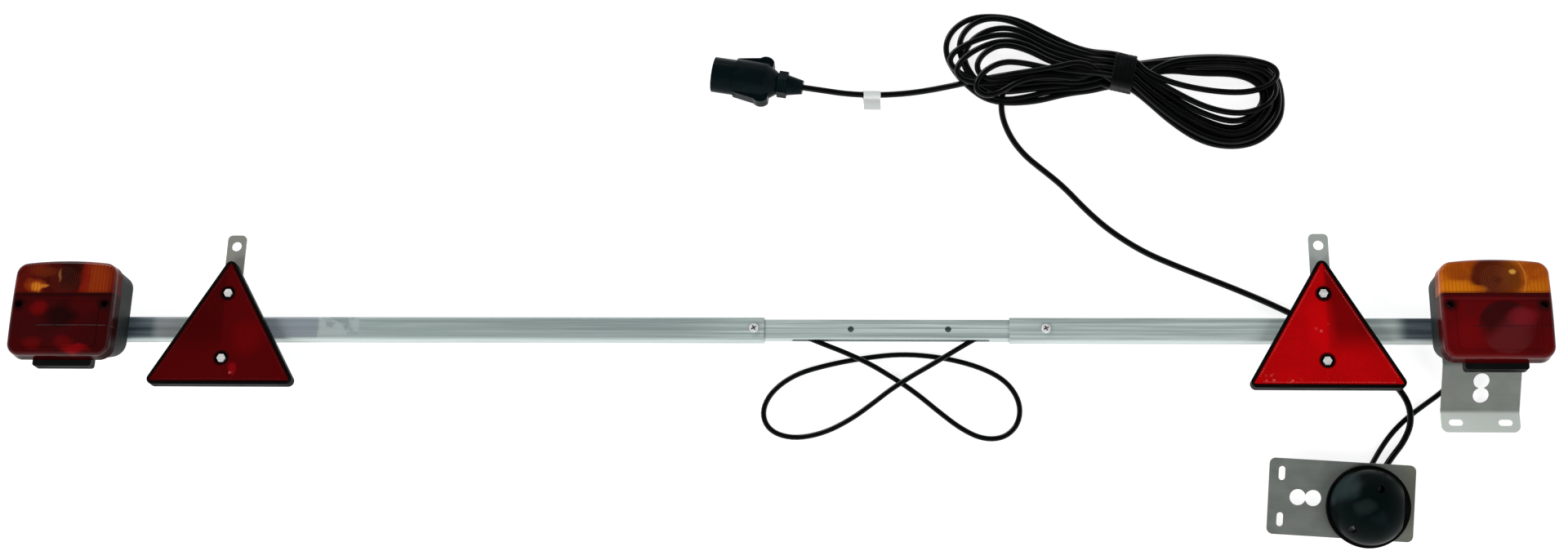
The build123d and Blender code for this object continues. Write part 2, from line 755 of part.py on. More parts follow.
def plate_plane(height=0.0, at=(0.0, 0.0)):
    heading = radians(plate_heading)
    tilt = radians(plate_tilt)
    whole = Plane(
        plate_at,
        x_dir=(cos(heading), sin(heading), 0),
        z_dir=(sin(tilt) * sin(heading), -sin(tilt) * cos(heading), cos(tilt)),
    )
    return Plane(whole.from_local_coords((*at, height)), x_dir=whole.x_dir, z_dir=whole.z_dir)


def dome_plane(height=0.0):
    return plate_plane(sheet + height, (dome_x, dome_y))


def dome_bolt_places():
    return [(s * dome_bolt_half, dome_bolt_y) for s in (-1, 1)]


def lamp_plate():
    with BuildPart() as plate:
        with BuildSketch(plate_plane()):
            RectangleRounded(plate_length, plate_width, plate_corner)
            with Locations((plate_slot_x, plate_slot_half), (plate_slot_x, -plate_slot_half)):
                SlotOverall(slot_length, slot_width, rotation=90, mode=Mode.SUBTRACT)
            with Locations((plate_keyhole_x, 0)):
                add(keyhole((1, 0)), mode=Mode.SUBTRACT)
            with Locations(*[(dome_x + x, dome_y + y) for x, y in dome_bolt_places()]):
                Circle((screw_d + hole_fit) / 2, mode=Mode.SUBTRACT)
            with Locations(*[(dome_x + x, dome_y + y) for x, y in dome_cables]):
                Circle((dome_grommet_d + nut_fit) / 2, mode=Mode.SUBTRACT)
        extrude(amount=sheet)
    return plate


def plate_lamp_base():
    with BuildPart() as base:
        with BuildSketch(dome_plane()):
            Circle(dome_base_d / 2)
        extrude(amount=dome_base_height)
        with BuildSketch(dome_plane(dome_base_height / 2)):
            Circle(dome_d / 2 - dome_wall)
        extrude(amount=dome_base_height / 2, mode=Mode.SUBTRACT)
        with BuildSketch(dome_plane(dome_base_height / 2)):
            with Locations(*dome_screws):
                Circle(dome_post_d / 2)
        extrude(amount=dome_base_height / 2)
        with BuildSketch(dome_plane()):
            with Locations(*dome_bolt_places()):
                Circle((screw_d + hole_fit) / 2)
            with Locations(*dome_cables):
                Circle((dome_grommet_d + nut_fit) / 2)
            with Locations(*dome_screws):
                Circle((lens_screw_d + nut_fit) / 2)
        extrude(amount=dome_base_height, mode=Mode.SUBTRACT)
    return base


def plate_lamp_grommets():
    floor = dome_base_height / 2
    with BuildPart() as grommets:
        with BuildSketch(dome_plane(-sheet)):
            with Locations(*dome_cables):
                Circle(dome_grommet_d / 2)
        extrude(amount=sheet + floor)
        with BuildSketch(dome_plane(floor)):
            with Locations(*dome_cables):
                Circle(dome_grommet_flange / 2)
        extrude(amount=grommet_flange_height)
        with BuildSketch(dome_plane(-sheet)):
            for place, diameter in zip(dome_cables, (main_d, thin_d)):
                with Locations(place):
                    Circle((diameter + cable_fit) / 2)
        extrude(amount=sheet + floor + grommet_flange_height, mode=Mode.SUBTRACT)
    return grommets


def dome_profile(radius, wall):
    plane = dome_plane(dome_base_height)
    section = Plane(plane.origin, x_dir=plane.x_dir, z_dir=-plane.y_dir)
    with BuildSketch(section) as profile:
        Circle(radius)
        if wall:
            Circle(radius - wall, mode=Mode.SUBTRACT)
        Rectangle(radius, radius, align=(Align.MIN, Align.MIN), mode=Mode.INTERSECT)
    return profile.sketch, Axis(plane.origin, plane.z_dir)


def plate_lamp_hood():
    whole, axis = dome_profile(dome_d / 2, 0)
    shell, _ = dome_profile(dome_d / 2, dome_wall)
    seat = dome_post_floor - dome_base_height
    plane = dome_plane(dome_base_height)
    flat = Plane(plane.from_local_coords((dome_window_x, 0, 0)), z_dir=plane.x_dir)
    with BuildPart() as hood:
        with BuildSketch(plane):
            with Locations(*dome_screws):
                Circle(dome_post_d / 2)
        extrude(amount=dome_d / 2)
        revolve(whole, axis=axis, mode=Mode.INTERSECT)
        revolve(shell, axis=axis)
        with BuildSketch(dome_plane(dome_post_floor)):
            with Locations(*dome_screws):
                Circle(lens_screw_well / 2)
        extrude(amount=dome_d / 2, mode=Mode.SUBTRACT)
        with BuildSketch(plane):
            with Locations(*dome_screws):
                Circle((lens_screw_d + nut_fit) / 2)
        extrude(amount=seat, mode=Mode.SUBTRACT)
        split(bisect_by=flat, keep=Keep.BOTTOM)
    return hood


def plate_lamp_window():
    whole, axis = dome_profile(dome_d / 2 - dome_wall - lens_fit, 0)
    plane = dome_plane(dome_base_height)
    inside = Plane(plane.from_local_coords((dome_window_x - dome_wall, 0, 0)), z_dir=plane.x_dir)
    outside = Plane(plane.from_local_coords((dome_window_x, 0, 0)), z_dir=plane.x_dir)
    with BuildPart() as window:
        revolve(whole, axis=axis)
        split(bisect_by=inside, keep=Keep.TOP)
        split(bisect_by=outside, keep=Keep.BOTTOM)
    return window


def plate_lamp_bulb():
    plane = dome_plane(dome_base_height / 2)
    radius = small_bulb_d / 2
    section = Plane(plane.origin, x_dir=plane.x_dir, z_dir=-plane.y_dir)
    with BuildPart() as lamp:
        with BuildSketch(section):
            with BuildLine():
                Polyline(
                    (0, small_bulb_length), (0, 0), (radius - 1, 0), (radius - 1, radius), (radius, radius),
                    (radius, small_bulb_length - radius),
                )
                ThreePointArc(
                    (radius, small_bulb_length - radius),
                    (radius / sqrt(2), small_bulb_length - radius + radius / sqrt(2)),
                    (0, small_bulb_length),
                )
            make_face()
        revolve(axis=Axis(plane.origin, plane.z_dir))
    return lamp


def plate_lamp_screws():
    with BuildPart() as screws:
        with BuildSketch(dome_plane(dome_post_floor)):
            with Locations(*dome_screws):
                Circle(lens_screw_head / 2)
        extrude(amount=screw_head)
        with BuildSketch(dome_plane(dome_post_floor)):
            with Locations(*dome_screws):
                Circle(lens_screw_d / 2)
        extrude(amount=-dome_post_floor)
    return screws


def plate_lamp_bolts():
    under = dome_y + dome_bolt_y
    reach = (plate_at[2] + under * sin(radians(plate_tilt))) / cos(radians(plate_tilt))
    length = reach - screw_d / 2 * tan(radians(plate_tilt)) - floor_gap
    with BuildPart() as bolts:
        with BuildSketch(dome_plane(dome_base_height / 2)):
            with Locations(*dome_bolt_places()):
                Circle(screw_af / 2)
        extrude(amount=screw_head)
        with BuildSketch(dome_plane(dome_base_height / 2)):
            with Locations(*dome_bolt_places()):
                Circle(screw_d / 2)
        extrude(amount=-dome_base_height / 2 - sheet - length)
        with BuildSketch(dome_plane(-sheet)):
            with Locations(*dome_bolt_places()):
                RegularPolygon(screw_af / 2, 6, major_radius=False)
                Circle((screw_d + nut_fit) / 2, mode=Mode.SUBTRACT)
        extrude(amount=-screw_nut)
    return bolts


def plug_plane(depth=0.0):
    return Plane(plug_at, x_dir=(0, 0, 1), z_dir=plug_axis).offset(depth)


def plug_body():
    flank = (shell_d + body_d) / 4
    with BuildPart() as body:
        with BuildSketch(plug_plane()):
            Circle(shell_d / 2)
        extrude(amount=shell_depth)
        with BuildSketch(plug_plane(shell_depth)):
            Circle(body_d / 2)
        extrude(amount=body_end - shell_depth)
        with BuildSketch(plug_plane(body_end)):
            Circle(body_d / 2)
        with BuildSketch(plug_plane(neck_end)):
            Circle(neck_d / 2)
        loft()
        wing_plane = Plane(plug_at, x_dir=plug_axis, z_dir=(0, 0, 1))
        with BuildSketch(wing_plane):
            with BuildLine():
                Polyline((shell_depth, -flank), (shell_depth, flank))
                Line((shell_depth, flank), (body_end - body_d / 4, wing_span / 2 - 2))
                ThreePointArc(
                    (body_end - body_d / 4, wing_span / 2 - 2), (body_end, wing_span / 2),
                    (body_end + body_d / 8, wing_span / 2 - 4),
                )
                Line((body_end + body_d / 8, wing_span / 2 - 4), (body_end + body_d / 8, -wing_span / 2 + 4))
                ThreePointArc(
                    (body_end + body_d / 8, -wing_span / 2 + 4), (body_end, -wing_span / 2),
                    (body_end - body_d / 4, -wing_span / 2 + 2),
                )
                Line((body_end - body_d / 4, -wing_span / 2 + 2), (shell_depth, -flank))
            make_face()
        extrude(amount=wing_thickness / 2, both=True)
        with BuildSketch(plug_plane()):
            Circle(shell_bore / 2)
        extrude(amount=shell_depth + insert_depth / 2, mode=Mode.SUBTRACT)
    return body


def plug_insert():
    back = shell_depth + insert_depth / 2
    with BuildPart() as insert:
        with BuildSketch(plug_plane(back)):
            Circle(shell_bore / 2 - insert_fit)
        extrude(amount=-insert_depth)
    return insert


def plug_pins():
    face = shell_depth - insert_depth / 2
    with BuildPart() as pins:
        with BuildSketch(plug_plane(face)):
            Circle(pin_d / 2)
            with PolarLocations(pin_circle / 2, 6):
                Circle(pin_d / 2)
        extrude(amount=-pin_length)
    return pins


def plug_gland():
    with BuildPart() as gland:
        with BuildSketch(plug_plane(neck_end)):
            RegularPolygon(gland_af / 2, 6, major_radius=False)
        extrude(amount=gland_hex_end - neck_end)
        with BuildSketch(plug_plane(gland_hex_end)):
            Circle(neck_d / 2)
        with BuildSketch(plug_plane(gland_end)):
            Circle(gland_nose / 2)
        loft()
    return gland


def corner_radii(route):
    radii = []
    for before, at, after in zip(route, route[1:], route[2:]):
        run_in = Vector(*at) - Vector(*before)
        run_out = Vector(*after) - Vector(*at)
        half_turn = radians(run_in.get_angle(run_out)) / 2
        radii.append(0.45 * min(run_in.length, run_out.length) / tan(half_turn))
    return radii


def cable(name, route, diameter):
    radii = corner_radii(route)
    with BuildPart() as tube:
        with BuildLine() as path:
            FilletPolyline(*route, radius=radii)
        with BuildSketch(Plane(path.line @ 0, z_dir=path.line % 0)):
            Circle(diameter / 2)
        sweep()
    length = sum(edge.length for edge in path.edges())
    share = tube.part.volume / (pi * diameter**2 / 4 * length)
    print(f"{name}: length {length:.0f} mm, least radius {min(radii):.1f} mm, volume ratio {share:.3f}")
    print("  radii", " ".join(f"{r:.0f}" for r in radii))
    return tube


def inner_cable_route(side):
    start = loop_route[0 if side < 0 else -1][0] + side * end_gap
    turn = side * lamp_reach
    y = bar_y + cable_y
    top = lamp_back(side) + base_wall + grommet_flange_height + 2
    return (start, y, bar_middle), (turn, y, bar_middle), (turn, y, top)


def inner_cable(side):
    with BuildPart() as tube:
        with BuildLine() as path:
            FilletPolyline(*inner_cable_route(side), radius=thin_d)
        with BuildSketch(Plane(path.line @ 0, z_dir=path.line % 0)):
            Circle(thin_d / 2)
        sweep()
    return tube


def cord_hank():
    with BuildPart() as hank:
        with BuildSketch(Plane.XY.offset(tie_sheet + floor_gap)):
            with BuildLine():
                Spline(*hank_outline, periodic=True)
            make_face()
            for centre, radii, turn in hank_eyes:
                with Locations(centre):
                    Ellipse(*radii, rotation=turn, mode=Mode.SUBTRACT)
        extrude(amount=hank_height)
    return hank


def hank_tie():
    heading = radians(tie_heading)
    plane = Plane(
        (tie_at[0], tie_at[1], tie_sheet + floor_gap + hank_height / 2),
        x_dir=(-sin(heading), cos(heading), 0), z_dir=(cos(heading), sin(heading), 0),
    )
    inside_width = hank_waist + 2 * end_gap
    inside_height = hank_height + 2 * floor_gap
    with BuildPart() as tie:
        with BuildSketch(plane):
            RectangleRounded(inside_width + 2 * tie_sheet, inside_height + 2 * tie_sheet, 3 * tie_sheet)
            RectangleRounded(inside_width, inside_height, 2 * tie_sheet, mode=Mode.SUBTRACT)
        extrude(amount=tie_width / 2, both=True)
    return tie


def cord_tag():
    at = Vector(*lead_route[3])
    along = (Vector(*lead_route[4]) - Vector(*lead_route[2])).normalized()
    plane = Plane(at - along * (tag_size[0] / 2), x_dir=(0, 0, 1), z_dir=along)
    with BuildPart() as tag:
        with BuildSketch(plane):
            Circle(tag_sleeve / 2)
            with Locations((0, tag_sleeve / 2 + tag_size[1] / 2 - tag_sheet)):
                Rectangle(tag_sheet, tag_size[1])
            Circle((main_d + tag_fit) / 2, mode=Mode.SUBTRACT)
        extrude(amount=tag_size[0])
    return tag


for side, hand in ((-1, "left"), (1, "right")):
    write(outer_tube(side), f"{hand}_tube")
    write(clamp_screw(side), f"{hand}_clamp_screw")
    write(lamp_base(side), f"{hand}_lamp_base")
    write(plate_window(side), f"{hand}_plate_window")
    write(lamp_gasket(side), f"{hand}_lamp_gasket")
    write(lamp_lens(side, amber=True), f"{hand}_amber_lens")
    write(lamp_lens(side, amber=False), f"{hand}_red_lens")
    write(lens_screws(side), f"{hand}_lens_screws")
    write(bulb_carrier(side), f"{hand}_bulb_carrier")
    write(bulb(side, bulb_y[0]), f"{hand}_indicator_bulb")
    write(bulb(side, bulb_y[1]), f"{hand}_tail_bulb")
    write(lamp_bolts(side), f"{hand}_lamp_bolts")
    write(lamp_grommets(side), f"{hand}_lamp_grommets")
    write(reflector_back(side), f"{hand}_reflector_back")
    write(reflector_lens(side), f"{hand}_reflector_lens")
    write(reflector_screws(side), f"{hand}_reflector_screws")
    write(strap(side), f"{hand}_strap")
    write(strap_rivets(side), f"{hand}_strap_rivets")
    write(inner_cable(side), f"{hand}_inner_cable")

write(centre_tube(), "centre_tube")
write(lamp_bracket(), "lamp_bracket")
write(lamp_plate(), "lamp_plate")
write(plate_lamp_base(), "plate_lamp_base")
write(plate_lamp_grommets(), "plate_lamp_grommets")
write(plate_lamp_hood(), "plate_lamp_hood")
write(plate_lamp_window(), "plate_lamp_window")
write(plate_lamp_bulb(), "plate_lamp_bulb")
write(plate_lamp_screws(), "plate_lamp_screws")
write(plate_lamp_bolts(), "plate_lamp_bolts")
write(plug_body(), "plug_body")
write(plug_insert(), "plug_insert")
write(plug_pins(), "plug_pins")
write(plug_gland(), "plug_gland")
write(cable("plug_lead", lead_route, main_d), "plug_lead")
write(cable("tail_cord", tail_route, main_d), "tail_cord")
write(cable("link_cord", link_route, thin_d), "link_cord")
write(cable("slack_loop", loop_route, thin_d), "slack_loop")
write(cord_hank(), "cord_hank")
write(hank_tie(), "hank_tie")
write(cord_tag(), "cord_tag")
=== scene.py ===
import json
import math

import bmesh
import bpy
from mathutils import Matrix, Vector


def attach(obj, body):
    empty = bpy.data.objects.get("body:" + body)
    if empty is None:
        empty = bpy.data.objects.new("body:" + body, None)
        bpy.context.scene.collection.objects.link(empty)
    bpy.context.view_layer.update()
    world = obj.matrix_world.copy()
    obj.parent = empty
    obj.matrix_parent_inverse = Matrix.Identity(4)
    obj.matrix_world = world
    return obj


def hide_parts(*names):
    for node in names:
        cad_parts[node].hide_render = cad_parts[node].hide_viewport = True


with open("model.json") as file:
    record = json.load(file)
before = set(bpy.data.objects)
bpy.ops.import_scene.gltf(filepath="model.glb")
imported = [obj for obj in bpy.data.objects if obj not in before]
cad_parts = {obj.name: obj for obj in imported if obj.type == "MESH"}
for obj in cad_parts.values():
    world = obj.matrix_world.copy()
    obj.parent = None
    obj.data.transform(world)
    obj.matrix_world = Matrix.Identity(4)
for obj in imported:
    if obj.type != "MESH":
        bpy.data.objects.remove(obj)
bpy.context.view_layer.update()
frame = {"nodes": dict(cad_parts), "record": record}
nodes = frame["nodes"]
scene = bpy.context.scene
millimetre = 0.001
print("stage 1: frame loaded,", len(nodes), "nodes")

# camera where the photo was taken: above the near edge of the board, a little right of its middle
view = {
    "place": (0.16305, -0.56955, 2.08432), "tilt": 0.319024, "pan": 0.067115,
    "lens": 48.0, "sensor": 36.0, "nearest": 0.01,
}
cameraData = bpy.data.cameras.new("photoCamera")
cameraData.lens = view["lens"]
cameraData.sensor_width = view["sensor"]
cameraData.sensor_fit = "HORIZONTAL"
cameraData.clip_start = view["nearest"]
camera = bpy.data.objects.new("photoCamera", cameraData)
turn = Matrix.Rotation(view["tilt"], 4, "X") @ Matrix.Rotation(view["pan"], 4, "Y")
camera.matrix_world = Matrix.Translation(view["place"]) @ turn
scene.collection.objects.link(camera)
scene.camera = camera


# shader helpers
def freshTree(name):
    material = bpy.data.materials.new(name)
    material.use_nodes = True
    tree = material.node_tree
    tree.nodes.clear()
    out = tree.nodes.new("ShaderNodeOutputMaterial")
    skin = tree.nodes.new("ShaderNodeBsdfPrincipled")
    tree.links.new(skin.outputs["BSDF"], out.inputs["Surface"])
    return material, tree, skin


def put(socket, value, tree):
    if isinstance(value, bpy.types.NodeSocket):
        tree.links.new(value, socket)
    elif isinstance(value, (tuple, list)) and len(value) == 3 and socket.type == "RGBA":
        socket.default_value = (*value, 1.0)
    else:
        socket.default_value = value


def calc(tree, operation, first, second=None, clamp=False):
    node = tree.nodes.new("ShaderNodeMath")
    node.operation = operation
    node.use_clamp = clamp
    put(node.inputs[0], first, tree)
    if second is not None:
        put(node.inputs[1], second, tree)
    return node.outputs[0]


def times(tree, first, second):
    return calc(tree, "MULTIPLY", first, second)


def plus(tree, first, second, clamp=False):
    return calc(tree, "ADD", first, second, clamp)


def minus(tree, first, second):
    return calc(tree, "SUBTRACT", first, second)


def weigh(tree, first, share, second, rest, clamp=False):
    return plus(tree, times(tree, first, share), times(tree, second, rest), clamp)


def awayFrom(tree, value, middle):
    return calc(tree, "ABSOLUTE", minus(tree, value, middle))


def wave(tree, value, pitch):
    return calc(tree, "SINE", times(tree, value, math.tau / pitch))


def ramp(tree, value, low, high, toLow=0.0, toHigh=1.0):
    node = tree.nodes.new("ShaderNodeMapRange")
    node.interpolation_type = "SMOOTHSTEP"
    for socket, number in zip(node.inputs, (value, low, high, toLow, toHigh)):
        put(socket, number, tree)
    return node.outputs["Result"]


def blend(tree, amount, first, second):
    node = tree.nodes.new("ShaderNodeMix")
    node.data_type = "RGBA"
    put(node.inputs["Factor"], amount, tree)
    put(node.inputs["A"], first, tree)
    put(node.inputs["B"], second, tree)
    return node.outputs["Result"]


def tinted(tree, colour, tint, mask, amount):
    return blend(tree, times(tree, mask, amount), colour, tint)


def place(tree):
    return tree.nodes.new("ShaderNodeTexCoord").outputs["Object"]


def axes(tree, vector):
    node = tree.nodes.new("ShaderNodeSeparateXYZ")
    put(node.inputs[0], vector, tree)
    return node.outputs


def freshSkin(name):
    material, tree, skin = freshTree(name)
    spot = place(tree)
    return material, tree, skin, spot, axes(tree, spot)


def around(tree, xyz, centreX, centreY):
    dx = minus(tree, xyz["X"], centreX)
    dy = minus(tree, xyz["Y"], centreY)
    far = calc(tree, "SQRT", plus(tree, times(tree, dx, dx), times(tree, dy, dy)))
    return dx, dy, far


def roughBy(tree, skin, mask, change, least):
    put(skin.inputs["Roughness"], plus(tree, times(tree, mask, change), least), tree)


def bumpOn(tree, skin, height, distance, strength):
    node = tree.nodes.new("ShaderNodeBump")
    node.inputs["Distance"].default_value = distance
    node.inputs["Strength"].default_value = strength
    put(node.inputs["Height"], height, tree)
    tree.links.new(node.outputs["Normal"], skin.inputs["Normal"])


def noiseAt(tree, vector, scale, detail, stretch=(1.0, 1.0, 1.0)):
    mapping = tree.nodes.new("ShaderNodeMapping")
    mapping.inputs["Scale"].default_value = stretch
    put(mapping.inputs["Vector"], vector, tree)
    noise = tree.nodes.new("ShaderNodeTexNoise")
    noise.inputs["Detail"].default_value = detail
    put(noise.inputs["Scale"], scale, tree)
    tree.links.new(mapping.outputs["Vector"], noise.inputs["Vector"])
    return noise.outputs["Fac"]


def patchy(tree, vector, scale, detail, low, high, stretch=(1.0, 1.0, 1.0)):
    return ramp(tree, noiseAt(tree, vector, scale, detail, stretch), low, high)


def newGroup(name, ins, outs):
    group = bpy.data.node_groups.new(name, "ShaderNodeTree")
    for label in ins:
        kind = "NodeSocketVector" if label == "Vector" else "NodeSocketFloat"
        group.interface.new_socket(label, in_out="INPUT", socket_type=kind)
    for label in outs:
        group.interface.new_socket(label, in_out="OUTPUT", socket_type="NodeSocketFloat")
    start = group.nodes.new("NodeGroupInput")
    end = group.nodes.new("NodeGroupOutput")
    return group, start, end


def useGroup(tree, group, **values):
    node = tree.nodes.new("ShaderNodeGroup")
    node.node_tree = group
    for label, value in values.items():
        put(node.inputs[label], value, tree)
    return node.outputs


# streaks that run along X, as drawing and plating leave them on metal
streaks, start, end = newGroup("drawnStreaks", ("Vector", "Fineness"), ("Streak", "Patch"))
spot, fineness = start.outputs["Vector"], start.outputs["Fineness"]
fine = patchy(streaks, spot, fineness, 4.0, 0.38, 0.66, stretch=(0.02, 1.0, 1.0))
patch = patchy(streaks, spot, 9.0, 5.0, 0.42, 0.62, stretch=(0.5, 1.6, 1.6))
streaks.links.new(fine, end.inputs["Streak"])
streaks.links.new(patch, end.inputs["Patch"])

# fine grain of moulded plastic, rubber and sheath, with faint dust
grain, start, end = newGroup("mouldGrain", ("Vector", "Scale"), ("Height", "Dust"))
spot = start.outputs["Vector"]
grain.links.new(noiseAt(grain, spot, start.outputs["Scale"], 2.0), end.inputs["Height"])
grain.links.new(patchy(grain, spot, 38.0, 6.0, 0.5, 0.74), end.inputs["Dust"])

# oval spot with a soft edge: painted light and shade on the lenses and the reflectors, and a painted
# sheen on the hood
spotSizes = ("MidX", "MidY", "ReachX", "ReachY")
softSpot, start, end = newGroup("softSpot", ("X", "Y", *spotSizes), ("Mask",))
squares = []
for axis in "XY":
    off = minus(softSpot, start.outputs[axis], start.outputs["Mid" + axis])
    off = calc(softSpot, "DIVIDE", off, start.outputs["Reach" + axis])
    squares.append(times(softSpot, off, off))
softSpot.links.new(ramp(softSpot, plus(softSpot, *squares), 1.0, 0.0), end.inputs["Mask"])


def spotMask(tree, atX, atY, sizes):
    values = {label: size * millimetre for label, size in zip(spotSizes, sizes)}
    return useGroup(tree, softSpot, X=atX, Y=atY, **values)["Mask"]


# spots are painted patches of light and shade; each has its middle and reach along X and Y in
# millimetres, its amount and its colour
wander = {"scale": 70.0, "detail": 4.0, "reach": 0.010}


def withSpots(tree, colour, dx, dy, spots):
    if not spots:
        return colour
    drift = noiseAt(tree, place(tree), wander["scale"], wander["detail"])
    sway = times(tree, minus(tree, drift, 0.5), wander["reach"])
    atX = plus(tree, dx, sway)
    atY = minus(tree, dy, sway)
    for *sizes, amount, tint in spots:
        colour = tinted(tree, colour, tint, spotMask(tree, atX, atY, sizes), amount)
    return colour


# streaked and clouded metal
def metalBase(tree, skin, spot, look):
    marks = useGroup(tree, streaks, Vector=spot, Fineness=look["fineness"])
    cloud = patchy(tree, spot, *look["cloud"])
    tone = weigh(tree, marks["Streak"], look["streakShare"], cloud, look["cloudShare"])
    skin.inputs["Metallic"].default_value = look["metal"]
    roughBy(tree, skin, marks["Patch"], look["roughPatch"], look["rough"])
    bumpOn(tree, skin, plus(tree, marks["Streak"], cloud), *look["bump"])
    return blend(tree, tone, look["dark"], look["light"])


# bright screws and brass pins; a cloud's numbers are its scale, detail and limits
bright = {
    "cloud": (300.0, 4.0, 0.35, 0.68), "streakShare": 0.55, "cloudShare": 0.45,
    "roughPatch": 0.14, "bump": (0.00006, 0.5),
}


def brightFinish(name, **look):
    material, tree, skin = freshTree(name)
    colour = metalBase(tree, skin, place(tree), {**bright, **look})
    put(skin.inputs["Base Color"], colour, tree)
    return material


# zinc sheet: straps, bracket and the number-plate lamp's plate, whose right end is dull; the left
# strap is painted darker as shade and the bracket's flange paler as painted light
sheet = {
    "dark": (0.130, 0.143, 0.130), "light": (0.168, 0.182, 0.165), "fineness": 240.0,
    "cloud": (60.0, 5.0, 0.3, 0.72), "streakShare": 0.25, "cloudShare": 0.75,
    "metal": 0.15, "rough": 0.46, "roughPatch": 0.12, "bump": (0.00005, 0.4),
    "middle": (-0.1, 0.1),
    "strap": {
        "y": (0.085, 0.100), "amount": (0.4, 0.85),
        "left": (0.375, 0.345, 0.305), "right": (0.42, 0.455, 0.43),
    },
    "bracket": {"x": (0.664, 0.672), "amount": 0.25, "tone": (0.27, 0.285, 0.25)},
    "flange": {"y": (-0.0200, -0.0240), "amount": 0.85, "tone": (0.70, 0.75, 0.69)},
    "shadeAndTarnish": {"x": (0.622, 0.646), "y": (0.0, -0.02), "amount": 0.5, "tone": (0.150, 0.152, 0.098)},
}


def sheetFinish(name):
    material, tree, skin, spot, xyz = freshSkin(name)
    colour = metalBase(tree, skin, spot, sheet)
    # painted shade: the strap tone is darker and warmer on the left, where the left end lies in the
    # dark
    strap = sheet["strap"]
    amount = ramp(tree, xyz["X"], *sheet["middle"], *strap["amount"])
    onStrap = times(tree, ramp(tree, xyz["Y"], *strap["y"]), amount)
    hand = ramp(tree, xyz["X"], *sheet["middle"])
    colour = blend(tree, onStrap, colour, blend(tree, hand, strap["left"], strap["right"]))
    bracket = sheet["bracket"]
    onBracket = ramp(tree, xyz["X"], *bracket["x"])
    colour = tinted(tree, colour, bracket["tone"], onBracket, bracket["amount"])
    # painted light: the bracket's flange, which faces up, is painted paler than its slope
    flange = sheet["flange"]
    onFlange = times(tree, ramp(tree, xyz["Y"], *flange["y"]), onBracket)
    colour = tinted(tree, colour, flange["tone"], onFlange, flange["amount"])
    shadeAndTarnish = sheet["shadeAndTarnish"]
    offBracket = ramp(tree, xyz["X"], *bracket["x"][::-1])
    onEnd = times(tree, ramp(tree, xyz["X"], *shadeAndTarnish["x"]), offBracket)
    onEnd = times(tree, onEnd, ramp(tree, xyz["Y"], *shadeAndTarnish["y"]))
    colour = tinted(tree, colour, shadeAndTarnish["tone"], onEnd, shadeAndTarnish["amount"])
    put(skin.inputs["Base Color"], colour, tree)
    return material


# moulded plastic, rubber and cable sheath, with painted spots of light and shade or a painted shaded
# end where a piece has them
moulding = {"dustRough": 0.16, "strength": 0.6}


def mouldedFinish(name, colour, dusty, rough, scale, depth, shine=0.2, spots=(), shade=None):
    material, tree, skin, spot, xyz = freshSkin(name)
    marks = useGroup(tree, grain, Vector=spot, Scale=scale)
    tint = blend(tree, marks["Dust"], colour, dusty)
    if shade:
        shaded = ramp(tree, xyz["Y"], *shade["y"], 0.0, shade["most"])
        tint = blend(tree, shaded, tint, shade["tone"])
    put(skin.inputs["Base Color"], withSpots(tree, tint, xyz["X"], xyz["Y"], spots), tree)
    roughBy(tree, skin, marks["Dust"], moulding["dustRough"], rough)
    skin.inputs["Specular IOR Level"].default_value = shine
    bumpOn(tree, skin, marks["Height"], depth, moulding["strength"])
    return material


# clear windows and bulbs
glass = {
    "haze": (0.8, 0.82, 0.82), "hazy": (0.4, 0.8), "cloud": (160.0, 3.0), "roughPatch": 0.06,
    "shine": 0.5, "passes": 0.85, "ior": 1.46,
}


def glassFinish(name, colour, rough):
    material, tree, skin = freshTree(name)
    cloud = noiseAt(tree, place(tree), *glass["cloud"])
    hazy = ramp(tree, cloud, *glass["hazy"])
    put(skin.inputs["Base Color"], blend(tree, hazy, colour, glass["haze"]), tree)
    roughBy(tree, skin, cloud, glass["roughPatch"], rough)
    skin.inputs["Specular IOR Level"].default_value = glass["shine"]
    skin.inputs["Transmission Weight"].default_value = glass["passes"]
    skin.inputs["IOR"].default_value = glass["ior"]
    return material


# the two lamps; shineZ and both lenses' wallShade are heights above wallZ
lamp = {
    "x": 0.7265, "amberY": 0.0930, "redY": 0.0440, "splitY": 0.079, "seamY": 0.0447,
    "screwReach": 0.0455, "screwY": 0.0674, "wallZ": {-1: 0.0605, 1: 0.0625},
    "shineZ": (0.009, 0.0145), "shine": (0.03, 0.2),
}
# amber lens: rings in front of the indicator bulb, flutes beside them, painted glints on the rings,
# painted spots of light and shade, and painted shade at the walls and by the split
amber = {
    "disc": (0.0285, 0.0215), "discShade": (0.028, -0.004, 0.55, 0.95),
    "stain": (55.0, 4.0, 0.36, 0.66), "rough": (0.14, 0.26),
    "ringPitch": 0.0022, "ringed": (0.0165, 0.0145), "ringGlint": (0.55, 1.0),
    "flutePitch": 0.0036, "fluteShade": 0.3, "fluteDepth": 0.4,
    "arc": 0.0295, "arcWidth": (0.0009, 0.0003), "arcFrom": (0.0, 0.012),
    "splitShade": (0.003, 0.0), "splitMost": 0.6, "wallShade": (0.0125, 0.0085), "wallMost": 0.55,
    "bump": 0.0003, "bumpLeast": 0.1, "bumpRings": 0.3,
}
